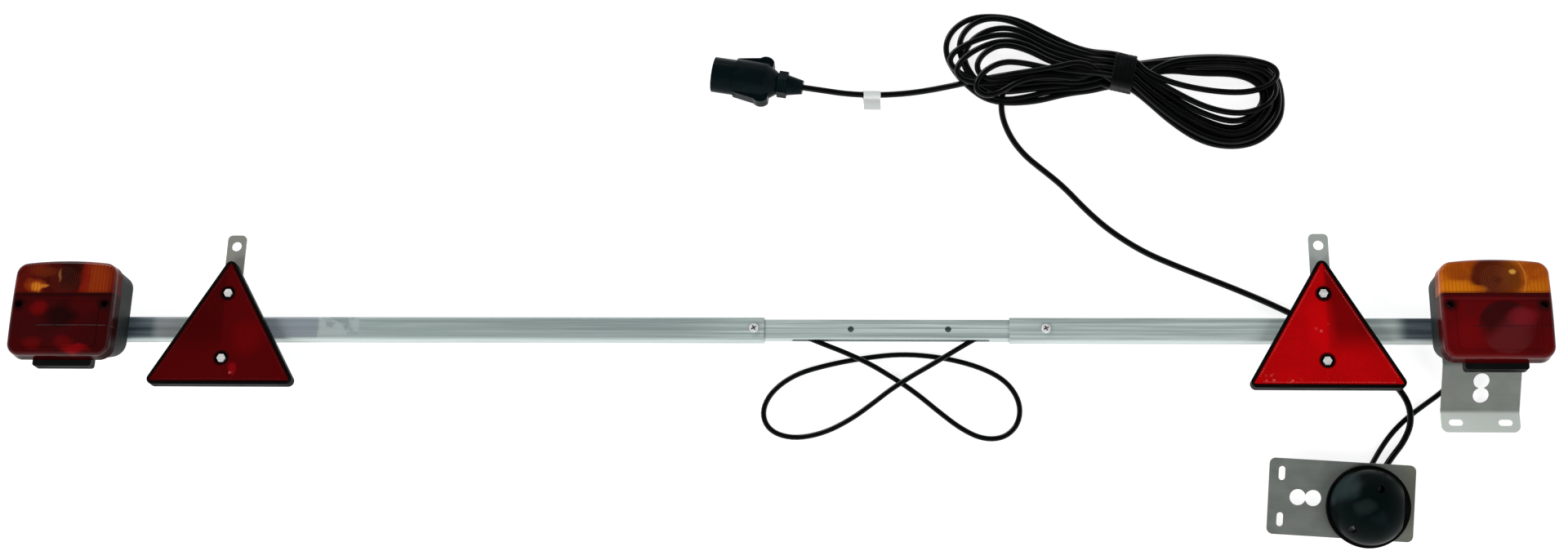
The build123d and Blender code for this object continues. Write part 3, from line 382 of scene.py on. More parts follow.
# red lens: prisms in front of the tail bulb, dark on one slant of the disc and rosy with painted
# sparkle on the other, painted spots of light and shade, and painted shade at the walls, by the split
# and in the screw wells
red = {
    "shift": 0.0075, "disc": (0.0290, 0.0255), "prism": 0.0019, "flatPrism": 0.12,
    "stain": (34.0, 3.0, 0.40, 0.62), "rough": (0.13, 0.24), "fade": (-0.035, 0.05),
    "slope": 0.9, "slant": (-0.004, 0.016), "slantDark": 0.85,
    "rosyEnd": (0.030, 0.010), "sparkle": (-0.6, 0.9, 0.3, 0.9),
    "seamWidth": (0.0008, 0.0002), "seamFrom": (-0.036, -0.030), "seamDark": 0.75, "seamDepth": 2.0,
    "splitShade": (-0.0055, -0.002), "splitMost": 0.7, "wallShade": (0.0135, 0.0095), "wallMost": 0.8,
    "screwShade": (0.0105, 0.004), "screwMost": 0.9,
    "frameDrop": 0.0058, "frameWidth": (0.0007, 0.0002), "bump": (0.00025, 0.4),
}


def shifted(base, steps):
    return [base + step for step in steps]


# colour, polish and shine of a lens; its walls shine less than its front
def lensSkin(tree, skin, colour, stain, rough, height, side):
    put(skin.inputs["Base Color"], colour, tree)
    put(skin.inputs["Roughness"], ramp(tree, stain, 0.0, 1.0, *rough), tree)
    front = shifted(lamp["wallZ"][side], lamp["shineZ"])
    put(skin.inputs["Specular IOR Level"], ramp(tree, height, *front, *lamp["shine"]), tree)


def edgeShade(tree, xyz, side, lens):
    split = shifted(lamp["splitY"], lens["splitShade"])
    foot = shifted(lamp["wallZ"][side], lens["wallShade"])
    nearSplit = ramp(tree, xyz["Y"], *split, 0.0, lens["splitMost"])
    wall = ramp(tree, xyz["Z"], *foot, 0.0, lens["wallMost"])
    return calc(tree, "MAXIMUM", nearSplit, wall)


def amberFinish(name, side, look):
    material, tree, skin, spot, xyz = freshSkin(name)
    dx, _, far = around(tree, xyz, side * lamp["x"], lamp["amberY"])
    disc = ramp(tree, far, *amber["disc"])
    beside = minus(tree, 1.0, disc)
    swirl = wave(tree, far, amber["ringPitch"])
    ringed = ramp(tree, far, *amber["ringed"])
    stain = patchy(tree, spot, *amber["stain"])
    flutes = wave(tree, dx, amber["flutePitch"])
    colour = tinted(tree, look["bright"], look["deep"], stain, look["blotch"])
    colour = tinted(tree, colour, look["dim"], disc, ramp(tree, dx, *amber["discShade"]))
    colour = withSpots(tree, colour, dx, minus(tree, xyz["Y"], lamp["splitY"]), look["spots"])
    fluted = ramp(tree, flutes, -1.0, 1.0, 0.0, amber["fluteShade"])
    colour = tinted(tree, colour, look["deep"], fluted, beside)
    glint = ramp(tree, swirl, *amber["ringGlint"], 0.0, look["rings"])
    colour = tinted(tree, colour, look["line"], glint, ringed)
    arc = ramp(tree, awayFrom(tree, far, amber["arc"]), *amber["arcWidth"], 0.0, look["rings"])
    colour = tinted(tree, colour, look["rim"], arc, ramp(tree, dx, *amber["arcFrom"]))
    colour = blend(tree, edgeShade(tree, xyz, side, amber), colour, look["dim"])
    lensSkin(tree, skin, colour, stain, amber["rough"], xyz["Z"], side)
    rings = times(tree, swirl, ringed)
    flat = times(tree, flutes, times(tree, beside, amber["fluteDepth"]))
    strength = amber["bumpLeast"] + amber["bumpRings"] * look["rings"]
    bumpOn(tree, skin, plus(tree, rings, flat), amber["bump"], strength)
    return material


def redFinish(name, side, look):
    material, tree, skin, spot, xyz = freshSkin(name)
    dark = look["dark"]
    dx, dy, far = around(tree, xyz, side * lamp["x"] + red["shift"], lamp["redY"])
    disc = ramp(tree, far, *red["disc"], 0.0, look["disc"])
    prisms = times(tree, wave(tree, dx, red["prism"]), wave(tree, dy, red["prism"]))
    stain = patchy(tree, spot, *red["stain"])
    colour = blend(tree, ramp(tree, dx, *red["fade"]), look["bright"], look["deep"])
    colour = tinted(tree, colour, look["deep"], stain, look["blotch"])
    left = ramp(tree, minus(tree, dy, times(tree, dx, red["slope"])), *red["slant"])
    colour = tinted(tree, colour, dark, disc, times(tree, left, red["slantDark"]))
    right = times(tree, disc, minus(tree, 1.0, left))
    right = times(tree, right, ramp(tree, dx, *red["rosyEnd"]))
    colour = tinted(tree, colour, look["rosy"], right, ramp(tree, prisms, *red["sparkle"]))
    fromMid = plus(tree, dx, red["shift"])
    colour = withSpots(tree, colour, fromMid, minus(tree, xyz["Y"], lamp["splitY"]), look["spots"])
    seam = ramp(tree, awayFrom(tree, xyz["Y"], lamp["seamY"]), *red["seamWidth"])
    seam = times(tree, seam, ramp(tree, dx, *red["seamFrom"]))
    colour = tinted(tree, colour, dark, seam, red["seamDark"])
    shadow = edgeShade(tree, xyz, side, red)
    # painted shade in the screw wells round the lens screws
    for hole in (-1, 1):
        reach = around(tree, xyz, side * lamp["x"] + hole * lamp["screwReach"], lamp["screwY"])[2]
        screwWellShade = ramp(tree, reach, *red["screwShade"], 0.0, red["screwMost"])
        shadow = calc(tree, "MAXIMUM", shadow, screwWellShade)
    colour = blend(tree, shadow, colour, dark)
    frameLine = awayFrom(tree, xyz["Y"], lamp["splitY"] - red["frameDrop"])
    frameLine = ramp(tree, frameLine, *red["frameWidth"], 0.0, look["frame"])
    colour = blend(tree, frameLine, colour, look["rosy"])
    lensSkin(tree, skin, colour, stain, red["rough"], xyz["Z"], side)
    ridge = times(tree, prisms, ramp(tree, disc, 0.0, 1.0, red["flatPrism"], 1.0))
    bumpOn(tree, skin, minus(tree, ridge, times(tree, seam, red["seamDepth"])), *red["bump"])
    return material


# cellular reflector: small prisms in fields that meet on the middle line, one field painted darker as
# shade, a dark edge, painted shadow rings round the screws, painted spots of light and painted glints;
# sparkles have their middle and reach in millimetres
reflector = {
    "x": 0.5665, "y": 0.0399, "side": 0.162, "front": 0.038, "screwY": (0.0213, 0.0917),
    "cell": 0.0026, "cellSway": 0.12, "cellDark": 0.22,
    "cloud": (18.0, 3.0, 0.34, 0.7), "cloudDark": 0.22,
    "foldX": (-0.001, 0.005), "foldY": (-0.020, 0.016), "lineX": 0.0006, "lineLight": 1.5,
    "lineWidth": (0.0008, 0.0003), "lineFrom": (0.002, -0.010, 0.0, 0.3),
    "lively": (0.80, 0.95, 0.0, 0.45), "sparkle": (0.80, 0.16, 0.15),
    "screwShadowReach": (0.0092, 0.0074), "screwShadowTone": (0.008, 0.0006, 0.0006),
    "edge": (-0.0044, -0.0037), "edgeTone": (0.006, 0.0005, 0.0005), "darkMost": 0.96,
    "rough": (0.2, 0.32), "shine": 0.08, "bump": (0.0003, 0.4),
    "beadInset": 0.0056, "beadPitch": 0.0023, "bead": 0.00055, "beadFlat": 0.6, "beadSkip": 3,
}


def reflectorFinish(name, side, light, deep, fieldShade, spots, sparkles):
    material, tree, skin, spot, xyz = freshSkin(name)
    dx, dy, _ = around(tree, xyz, side * reflector["x"], reflector["y"])
    cells = tree.nodes.new("ShaderNodeTexVoronoi")
    cells.inputs["Randomness"].default_value = reflector["cellSway"]
    cells.inputs["Scale"].default_value = 1.0 / reflector["cell"]
    put(cells.inputs["Vector"], spot, tree)
    cellTone = axes(tree, cells.outputs["Color"])["X"]
    cloud = patchy(tree, spot, *reflector["cloud"])
    # painted shade: one field of prisms is darker than the other
    half = ramp(tree, times(tree, dx, side), *reflector["foldX"])
    field = times(tree, half, ramp(tree, dy, *reflector["foldY"]))
    tone = weigh(tree, field, fieldShade, cloud, reflector["cloudDark"], clamp=True)
    colour = blend(tree, tone, light, deep)
    colour = tinted(tree, colour, deep, cellTone, reflector["cellDark"])
    line = calc(tree, "ABSOLUTE", plus(tree, dx, reflector["lineX"]))
    line = ramp(tree, line, *reflector["lineWidth"])
    line = times(tree, line, ramp(tree, dy, *reflector["lineFrom"]))
    colour = blend(tree, line, colour, [reflector["lineLight"] * value for value in light])
    colour = withSpots(tree, colour, dx, dy, spots)
    # painted glints: the sparkles light up the lively cells, and the spots above are painted patches
    # of light
    lively = ramp(tree, cellTone, *reflector["lively"])
    for sizes in sparkles:
        colour = tinted(tree, colour, reflector["sparkle"], spotMask(tree, dx, dy, sizes), lively)
    # painted shadow rings round the screw heads
    for height in reflector["screwY"]:
        ring = around(tree, xyz, side * reflector["x"], height)[2]
        ring = ramp(tree, ring, *reflector["screwShadowReach"], 0.0, reflector["darkMost"])
        colour = blend(tree, ring, colour, reflector["screwShadowTone"])
    inner = reflector["side"] / math.sqrt(12)
    slant = weigh(tree, calc(tree, "ABSOLUTE", dx), math.sqrt(0.75), dy, 0.5)
    outward = calc(tree, "MAXIMUM", slant, times(tree, dy, -1.0))
    edge = ramp(tree, outward, *shifted(inner, reflector["edge"]), 0.0, reflector["darkMost"])
    colour = blend(tree, edge, colour, reflector["edgeTone"])
    put(skin.inputs["Base Color"], colour, tree)
    put(skin.inputs["Roughness"], ramp(tree, cellTone, 0.0, 1.0, *reflector["rough"]), tree)
    skin.inputs["Specular IOR Level"].default_value = reflector["shine"]
    bumpOn(tree, skin, cells.outputs["Distance"], *reflector["bump"])
    return material


# the three tubes: painted shade on the top to the left, the lower wall painted lighter as light,
# painted shadow and reflection of the lamps beside them, darker tones on the top at the far left and a
# rubbed patch on the left tube
tube = {
    "dark": (0.30, 0.365, 0.35), "light": (0.58, 0.67, 0.64), "fineness": 420.0,
    "seams": (300.0, 1.0, 0.42, 0.6, (0.004, 1.0, 1.0)), "share": 0.5, "topY": (0.0465, 0.0485),
    "metal": 0.2, "rough": 0.36, "roughPatch": 0.12, "bump": (0.00008, 0.5),
    "shadeAndTarnish": {"x": (0.0, -0.10, 0.0, 0.5), "tone": (0.20, 0.255, 0.25)},
    "lit": {"y": (0.0500, 0.0465), "amount": 0.5, "tone": (0.50, 0.56, 0.54)},
    "lampShadow": {
        "x": (0.636, 0.652), "frontLeast": 0.25, "amount": 0.95,
        "dark": (0.028, 0.048, 0.062), "light": (0.13, 0.165, 0.19),
    },
    "farLeft": {
        "x": (-0.4706, -0.4718), "fade": (-0.50, -0.62), "amount": 0.8, "streakShare": 0.5,
        "near": (0.215, 0.245, 0.285), "far": (0.20, 0.195, 0.195), "streak": (0.30, 0.335, 0.36),
    },
    "rubbed": {
        "fromX": 0.4485, "x": (0.0225, 0.0195), "y": (0.049, 0.051), "amount": 0.75, "rough": 0.15,
        "smudge": (70.0, 4.0, 0.5, 0.66), "smudged": 0.6,
        "clean": (0.40, 0.46, 0.45), "dirty": (0.13, 0.16, 0.17),
    },
}


def tubeFinish(name):
    material, tree, skin, spot, xyz = freshSkin(name)
    marks = useGroup(tree, streaks, Vector=spot, Fineness=tube["fineness"])
    seams = patchy(tree, spot, *tube["seams"])
    tone = weigh(tree, marks["Streak"], tube["share"], seams, tube["share"])
    colour = blend(tree, tone, tube["dark"], tube["light"])
    onTop = ramp(tree, xyz["Y"], *tube["topY"])
    # painted shade: the top face is darker to the left of the middle
    shadeAndTarnish = tube["shadeAndTarnish"]
    colour = tinted(tree, colour, shadeAndTarnish["tone"], ramp(tree, xyz["X"], *shadeAndTarnish["x"]), onTop)
    lit = tube["lit"]
    colour = tinted(tree, colour, lit["tone"], ramp(tree, xyz["Y"], *lit["y"]), lit["amount"])
    # painted shadow and reflection of the lamps: the tube ends beside them are darkened, less on the
    # front wall
    lampShadow = tube["lampShadow"]
    beside = ramp(tree, calc(tree, "ABSOLUTE", xyz["X"]), *lampShadow["x"])
    beside = times(tree, beside, ramp(tree, xyz["Y"], *tube["topY"], lampShadow["frontLeast"], 1.0))
    lampShadowTone = blend(tree, tone, lampShadow["dark"], lampShadow["light"])
    colour = tinted(tree, colour, lampShadowTone, beside, lampShadow["amount"])
    # the top of the left tube beyond the reflector's inner edge is blended to darker blue-grey and
    # brown tones, with streaks
    farLeft = tube["farLeft"]
    onFarLeft = times(tree, ramp(tree, xyz["X"], *farLeft["x"]), onTop)
    farLeftTone = blend(tree, ramp(tree, xyz["X"], *farLeft["fade"]), farLeft["near"], farLeft["far"])
    farLeftTone = tinted(tree, farLeftTone, farLeft["streak"], tone, farLeft["streakShare"])
    clear = minus(tree, farLeft["amount"], times(tree, beside, farLeft["amount"]))
    colour = tinted(tree, colour, farLeftTone, onFarLeft, clear)
    rubbed = tube["rubbed"]
    onPatch = calc(tree, "ABSOLUTE", plus(tree, xyz["X"], rubbed["fromX"]))
    onPatch = times(tree, ramp(tree, onPatch, *rubbed["x"]), ramp(tree, xyz["Y"], *rubbed["y"]))
    smudge = patchy(tree, spot, *rubbed["smudge"])
    worn = tinted(tree, rubbed["clean"], rubbed["dirty"], smudge, rubbed["smudged"])
    colour = tinted(tree, colour, worn, onPatch, rubbed["amount"])
    put(skin.inputs["Base Color"], colour, tree)
    skin.inputs["Metallic"].default_value = tube["metal"]
    gloss = plus(tree, times(tree, marks["Patch"], tube["roughPatch"]), tube["rough"])
    gloss = plus(tree, gloss, times(tree, onPatch, rubbed["rough"]))
    put(skin.inputs["Roughness"], gloss, tree)
    bumpOn(tree, skin, tone, *tube["bump"])
    return material


# one finish for each material slot
finishes = {
    "zinc_tube": tubeFinish("tubeZinc"),
    "zinc_sheet": sheetFinish("sheetZinc"),
    "bright_screw": brightFinish(
        "screwZinc", dark=(0.58, 0.58, 0.56), light=(0.86, 0.86, 0.84),
        fineness=900.0, rough=0.3, metal=0.2,
    ),
    "black_plastic": mouldedFinish(
        "rimBlack", (0.002, 0.002, 0.002), (0.005, 0.005, 0.005),
        rough=0.5, scale=1400.0, depth=0.0001, shine=0.05,
    ),
    "hood_plastic": mouldedFinish(
        "hoodBlack", (0.0018, 0.0042, 0.0040), (0.005, 0.010, 0.010),
        rough=0.3, scale=900.0, depth=0.0001, shine=0.025,
        # painted sheen: the two spots lighten the hood's upper left as a reflection would
        spots=[
            (573, -104, 20, 24, 0.8, (0.024, 0.040, 0.040)),
            (591, -131, 14, 10, 0.45, (0.018, 0.026, 0.026)),
        ],
    ),
    "plug_plastic": mouldedFinish(
        "plugBlack", (0.0020, 0.0055, 0.0066), (0.0045, 0.0105, 0.0125),
        rough=0.25, scale=1100.0, depth=0.00004, shine=0.04,
    ),
    "white_plastic": mouldedFinish(
        "carrierWhite", (0.72, 0.71, 0.66), (0.5, 0.49, 0.45), rough=0.4, scale=700.0, depth=0.00008,
    ),
    "tag_plastic": mouldedFinish(
        "tagWhite", (0.66, 0.68, 0.67), (0.5, 0.52, 0.51), rough=0.5, scale=600.0, depth=0.00006,
    ),
    "rubber": mouldedFinish(
        "gasketRubber", (0.008, 0.008, 0.008), (0.018, 0.018, 0.018),
        rough=0.6, scale=1500.0, depth=0.00012,
    ),
    "cable": mouldedFinish(
        "sheathBlack", (0.0006, 0.0007, 0.0008), (0.002, 0.002, 0.0025),
        rough=0.12, scale=300.0, depth=0.00001, shine=0.18,
    ),
    "clear_plastic": glassFinish("clearPlastic", (0.93, 0.95, 0.95), rough=0.05),
    "bulb": glassFinish("bulbGlass", (0.96, 0.96, 0.94), rough=0.02),
    "brass_pin": brightFinish(
        "pinBrass", dark=(0.55, 0.38, 0.13), light=(0.78, 0.6, 0.26),
        fineness=700.0, rough=0.22, metal=0.95,
    ),
}
# the left end lies in the dark and the right one in the light, as in the photo
leftLook = {
    "reflector": {
        "light": (0.078, 0.0005, 0.001), "deep": (0.046, 0.0003, 0.0006), "fieldShade": 0.75,
        "spots": [
            (13, -30, 6, 8, 0.7, (0.23, 0.001, 0.004)),
            (26, 4, 22, 26, 0.6, (0.125, 0.0005, 0.001)),
        ],
        "sparkles": [(12, -32, 6, 6)],
    },
    "bead": {"colour": (0.090, 0.002, 0.003), "dusty": (0.060, 0.001, 0.002)},
    "amber": {
        "bright": (0.110, 0.006, 0.001), "deep": (0.060, 0.001, 0.0005), "dim": (0.044, 0.001, 0.0005),
        "line": (0.20, 0.05, 0.02), "rim": (0.22, 0.03, 0.004), "blotch": 0.9, "rings": 0.25,
        "spots": [
            (34, 14, 21, 34, 1.0, (0.24, 0.026, 0.002)), (22, 14, 8, 30, 0.8, (0.17, 0.005, 0.001)),
            (6, 22, 17, 24, 0.95, (0.016, 0.0004, 0.0003)), (-30, 8, 14, 9, 0.8, (0.30, 0.040, 0.002)),
            (-29, 7, 8, 6, 0.85, (0.60, 0.19, 0.010)), (-21, 7, 8, 3, 0.7, (0.55, 0.17, 0.02)),
            (-6, 20, 2, 9, 0.5, (0.36, 0.13, 0.04)), (-24, 24, 18, 8, 0.5, (0.15, 0.022, 0.003)),
        ],
    },
    "red": {
        "bright": (0.042, 0.0002, 0.0005), "deep": (0.030, 0.0002, 0.0004),
        "dark": (0.010, 0.0001, 0.0002), "rosy": (0.050, 0.001, 0.002),
        "blotch": 0.6, "disc": 0.25, "frame": 0.25,
        "spots": [
            (-24, -15, 12, 11, 0.85, (0.130, 0.0005, 0.001)),
            (-26, -53, 13, 9, 0.8, (0.100, 0.0004, 0.001)),
            (7, -53, 13, 9, 0.8, (0.100, 0.0004, 0.001)), (20, -60, 18, 7, 1.0, (0.180, 0.001, 0.002)),
            (2, -24, 24, 17, 0.9, (0.008, 0.0001, 0.0002)),
            (26, -14, 26, 12, 0.5, (0.060, 0.0003, 0.0006)),
        ],
    },
}
rightLook = {
    "reflector": {
        "light": (0.47, 0.0008, 0.002), "deep": (0.165, 0.0004, 0.001), "fieldShade": 0.95,
        "spots": [(-4, 20, 18, 40, 0.4, (0.58, 0.001, 0.003))],
        "sparkles": [(-62, -36, 16, 6), (-42, -39, 18, 4), (-3, 16, 9, 8)],
    },
    "bead": {"colour": (0.52, 0.06, 0.06), "dusty": (0.36, 0.01, 0.01)},
    "amber": {
        "bright": (0.46, 0.108, 0.002), "deep": (0.26, 0.032, 0.001), "dim": (0.062, 0.005, 0.001),
        "line": (0.15, 0.037, 0.013), "rim": (0.50, 0.17, 0.03), "blotch": 0.8, "rings": 0.85,
        "spots": [
            (18, 18, 14, 22, 0.7, (0.120, 0.028, 0.002)), (16, 23, 4, 4, 1.0, (0.60, 0.28, 0.05)),
            (-19, 3, 14, 7, 0.8, (0.46, 0.108, 0.002)), (3, 13, 6, 6, 0.6, (0.03, 0.002, 0.001)),
            (-38, 5, 22, 12, 0.8, (0.64, 0.190, 0.003)), (-36, 22, 18, 12, 0.7, (0.22, 0.035, 0.001)),
            (40, 5, 18, 9, 0.6, (0.52, 0.150, 0.003)), (42, 24, 16, 10, 0.5, (0.30, 0.065, 0.002)),
        ],
    },
    "red": {
        "bright": (0.104, 0.0005, 0.0012), "deep": (0.062, 0.0004, 0.001),
        "dark": (0.022, 0.0004, 0.0008), "rosy": (0.105, 0.012, 0.014),
        "blotch": 0.25, "disc": 1.0, "frame": 0.5,
        "spots": [
            (24, -25, 19, 13, 0.7, (0.175, 0.006, 0.012)),
            (-30, -44, 24, 22, 0.6, (0.150, 0.0006, 0.0015)),
            (46, -50, 12, 20, 0.7, (0.090, 0.0004, 0.001)),
        ],
    },
}
housing = mouldedFinish(
    "lampHousing", (0.015, 0.019, 0.018), (0.025, 0.030, 0.028),
    rough=0.5, scale=1400.0, depth=0.00012, shine=0.1,
    shade={"y": (0.050, 0.012), "most": 0.85, "tone": (0.003, 0.003, 0.003)},
)
smoky = mouldedFinish(
    "smokyWindow", (0.004, 0.003, 0.003), (0.008, 0.006, 0.006),
    rough=0.5, scale=900.0, depth=0.00004, shine=0.03,
)
sides = ((-1, "left", leftLook), (1, "right", rightLook))
bySide = {}
beadFinishes = {}
for side, hand, look in sides:
    bySide[hand + "_amber_lens"] = amberFinish(hand + "Amber", side, look["amber"])
    bySide[hand + "_red_lens"] = redFinish(hand + "Red", side, look["red"])
    bySide[hand + "_reflector_lens"] = reflectorFinish(hand + "Reflector", side, **look["reflector"])
    bySide[hand + "_lamp_base"] = housing
    bySide[hand + "_plate_window"] = smoky
    beadFinishes[hand] = mouldedFinish(
        hand + "Bead", **look["bead"], rough=0.3, scale=900.0, depth=0.00004
    )
for part in frame["record"]["subparts"]:
    thing = nodes[part["node"]]
    finish = bySide.get(part["node"]) or finishes[part["material_slot"]]
    thing.data.materials.clear()
    thing.data.materials.append(finish)
print("stage 2: finishes on", len(nodes), "nodes")


# small repeated parts: one tree that sets a unit on every point of a host mesh
def growTree():
    tree = bpy.data.node_groups.new("repeatUnit", "GeometryNodeTree")
    sockets = {
        "Geometry": "Geometry", "Unit": "Object", "Finish": "Material", "Small": "Float",
        "Large": "Float", "Sway": "Float", "Heading": "Float", "Seed": "Int",
    }
    for label, kind in sockets.items():
        tree.interface.new_socket(label, in_out="INPUT", socket_type="NodeSocket" + kind)
    tree.interface.new_socket("Geometry", in_out="OUTPUT", socket_type="NodeSocketGeometry")
    new, link = tree.nodes.new, tree.links.new
    start = new("NodeGroupInput")
    end = new("NodeGroupOutput")
    unit = new("GeometryNodeObjectInfo")
    size = new("FunctionNodeRandomValue")
    sway = new("FunctionNodeRandomValue")
    down = new("ShaderNodeMath")
    down.operation = "MULTIPLY"
    down.inputs[1].default_value = -1.0
    total = new("ShaderNodeMath")
    turnZ = new("ShaderNodeCombineXYZ")
    spread = new("GeometryNodeInstanceOnPoints")
    real = new("GeometryNodeRealizeInstances")
    paint = new("GeometryNodeSetMaterial")
    link(start.outputs["Unit"], unit.inputs["Object"])
    link(start.outputs["Small"], size.inputs[2])  # a random number's limits are its inputs 2 and 3
    link(start.outputs["Large"], size.inputs[3])
    link(start.outputs["Sway"], down.inputs[0])
    link(down.outputs[0], sway.inputs[2])
    link(start.outputs["Sway"], sway.inputs[3])
    link(start.outputs["Seed"], size.inputs["Seed"])
    link(start.outputs["Seed"], sway.inputs["Seed"])
    link(sway.outputs[1], total.inputs[0])
    link(start.outputs["Heading"], total.inputs[1])
    link(total.outputs[0], turnZ.inputs["Z"])
    link(start.outputs["Geometry"], spread.inputs["Points"])
    link(unit.outputs["Geometry"], spread.inputs["Instance"])
    link(turnZ.outputs[0], spread.inputs["Rotation"])
    link(size.outputs[1], spread.inputs["Scale"])
    link(spread.outputs["Instances"], real.inputs["Geometry"])
    link(real.outputs["Geometry"], paint.inputs["Geometry"])
    link(start.outputs["Finish"], paint.inputs["Material"])
    link(paint.outputs["Geometry"], end.inputs["Geometry"])
    return tree


repeatTree = growTree()
socketKeys = {
    item.name: item.identifier for item in repeatTree.interface.items_tree if item.in_out == "INPUT"
}
plainRepeat = {"Small": 1.0, "Large": 1.0, "Sway": 0.0, "Heading": 0.0, "Seed": 7}


def repeatUnit(name, spots, unitMesh, finish, body, slot, **settings):
    host = bpy.data.objects.new(name + "Host", bpy.data.meshes.new(name + "Host"))
    host.data.from_pydata(spots, [], [])
    unit = bpy.data.objects.new(name + "Unit", unitMesh)
    scene.collection.objects.link(host)
    scene.collection.objects.link(unit)
    grow = host.modifiers.new("repeat", "NODES")
    grow.node_group = repeatTree
    values = {"Unit": unit, "Finish": finish, **plainRepeat, **settings}
    for label, value in values.items():
        grow[socketKeys[label]] = value
    depsgraph = bpy.context.evaluated_depsgraph_get()
    mesh = bpy.data.meshes.new_from_object(host.evaluated_get(depsgraph))
    mesh.name = name
    piece = bpy.data.objects.new(name, mesh)
    bpy.data.objects.remove(host)
    bpy.data.objects.remove(unit)
    scene.collection.objects.link(piece)
    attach(piece, body)
    return piece


def meshFrom(name, build):
    shape = bmesh.new()
    build(shape)
    bmesh.ops.recalc_face_normals(shape, faces=shape.faces)
    mesh = bpy.data.meshes.new(name)
    shape.to_mesh(mesh)
    shape.free()
    return mesh


# beads along the reflectors' edges
def beadShape(shape):
    bmesh.ops.create_uvsphere(shape, u_segments=8, v_segments=6, radius=reflector["bead"])
    bmesh.ops.scale(shape, vec=(1.0, 1.0, reflector["beadFlat"]), verts=shape.verts)


def beadRow(side):
    spots = []
    radius = reflector["side"] / math.sqrt(3) - 2 * reflector["beadInset"]
    angles = [math.radians(angle) for angle in (90, 210, 330)]
    corners = [Vector((math.cos(angle), math.sin(angle))) * radius for angle in angles]
    for first, second in zip(corners, corners[1:] + corners[:1]):
        count = int((second - first).length / reflector["beadPitch"])
        for step in range(reflector["beadSkip"], count - reflector["beadSkip"] + 1):
            at = first.lerp(second, step / count)
            spots.append((side * reflector["x"] + at.x, reflector["y"] + at.y, reflector["front"]))
    return spots


# cross recesses on the heads of the clamp screws and the lens screws: a thin dark unit cross scaled to
# each head, painted shade standing in for the shade in each recess
cross = {
    "long": 0.5, "thin": 0.11, "deep": 0.03, "barY": 0.058,
    "clampX": {-1: -0.0128, 1: 0.2872}, "clampTop": 0.028, "clampSize": 0.0055, "clampHeading": 0.5,
    "lift": {-1: 0.025, 1: 0.027}, "lensTop": 0.0412, "lensSize": 0.0042, "lensSway": 1.2,
}


def crossShape(shape):
    long, thin = cross["long"], cross["thin"]
    arm = [(long, -thin), (long, thin), (thin, thin)]
    outline = []
    for _ in range(4):
        outline += arm
        arm = [(-y, x) for x, y in arm]
    base = shape.faces.new([shape.verts.new((x, y, 0.0)) for x, y in outline])
    lid = bmesh.ops.extrude_face_region(shape, geom=[base])["geom"]
    raised = [item for item in lid if isinstance(item, bmesh.types.BMVert)]
    bmesh.ops.translate(shape, vec=(0, 0, cross["deep"]), verts=raised)


# painted shade: the dark finish of the crosses stands in for the shade inside the recesses
recessShadeFinish = mouldedFinish(
    "recessShade", (0.02, 0.02, 0.022), (0.06, 0.06, 0.062), rough=0.5, scale=900.0, depth=0.00004,
)
for side, hand, _ in sides:
    body = hand + "_arm"
    repeatUnit(
        hand + "Beads", beadRow(side), meshFrom("bead", beadShape), beadFinishes[hand], body,
        "reflector_red", Small=0.75, Large=1.1, Seed=11,
    )
    repeatUnit(
        hand + "ClampRecess", [(cross["clampX"][side], cross["barY"], cross["clampTop"])],
        meshFrom("clampCross", crossShape), recessShadeFinish, body, "bright_screw",
        Small=cross["clampSize"], Large=cross["clampSize"], Heading=cross["clampHeading"],
    )
    headZ = cross["lift"][side] + cross["lensTop"]
    heads = [
        (side * lamp["x"] + way * lamp["screwReach"], lamp["screwY"], headZ) for way in (-1, 1)
    ]
    repeatUnit(
        hand + "LensRecess", heads,
        meshFrom("lensCross", crossShape), recessShadeFinish, body, "bright_screw",
        Small=cross["lensSize"], Large=cross["lensSize"], Sway=cross["lensSway"], Seed=4,
    )

# black wrap round the hank's waist: flat turns side by side; the section is in bands and sheets
wrap = {
    "at": (0.375, 0.347, 0.0143), "heading": math.radians(-14.0), "half": (0.0194, 0.0136),
    "corner": 0.009, "cornerSteps": 6, "band": 0.0052, "sheet": 0.0009,
    "section": [(-0.5, -0.2), (-0.42, 0.3), (0.0, 0.5), (0.42, 0.3), (0.5, -0.2), (0.0, -0.5)],
    "turns": 5, "pitch": 0.0044, "sway": 0.07,
}


def wrapShape(shape):
    halfY, halfZ = wrap["half"]
    path = []
    for quarter, (sideY, sideZ) in enumerate(((1, 1), (-1, 1), (-1, -1), (1, -1))):
        middle = Vector((sideY * (halfY - wrap["corner"]), sideZ * (halfZ - wrap["corner"])))
        for step in range(wrap["cornerSteps"] + 1):
            angle = math.radians(90 * (quarter + step / wrap["cornerSteps"]))
            out = Vector((math.cos(angle), math.sin(angle)))
            path.append((middle + out * wrap["corner"], out))
    rings = []
    for at, out in path:
        ring = []
        for wide, tall in wrap["section"]:
            spot = at + out * tall * wrap["sheet"]
            ring.append(shape.verts.new((wide * wrap["band"], spot.x, spot.y)))
        rings.append(ring)
    for ring, after in zip(rings, rings[1:] + rings[:1]):
        for number in range(len(ring)):
            follow = (number + 1) % len(ring)
            shape.faces.new((ring[number], ring[follow], after[follow], after[number]))


wrapFinish = mouldedFinish(
    "wrapBlack", (0.001, 0.0012, 0.0013), (0.003, 0.0035, 0.004),
    rough=0.4, scale=1100.0, depth=0.00006, shine=0.12,
)
middle = (wrap["turns"] - 1) / 2
along = Vector((math.cos(wrap["heading"]), math.sin(wrap["heading"]), 0.0)) * wrap["pitch"]
spots = [tuple(Vector(wrap["at"]) + along * (turn - middle)) for turn in range(wrap["turns"])]
wrapTurns = repeatUnit(
    "hankWrap", spots, meshFrom("wrapTurn", wrapShape), wrapFinish, "right_arm", "plug_plastic",
    Heading=wrap["heading"], Sway=wrap["sway"], Seed=3,
)
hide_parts("hank_tie")
print("stage 3: small parts")

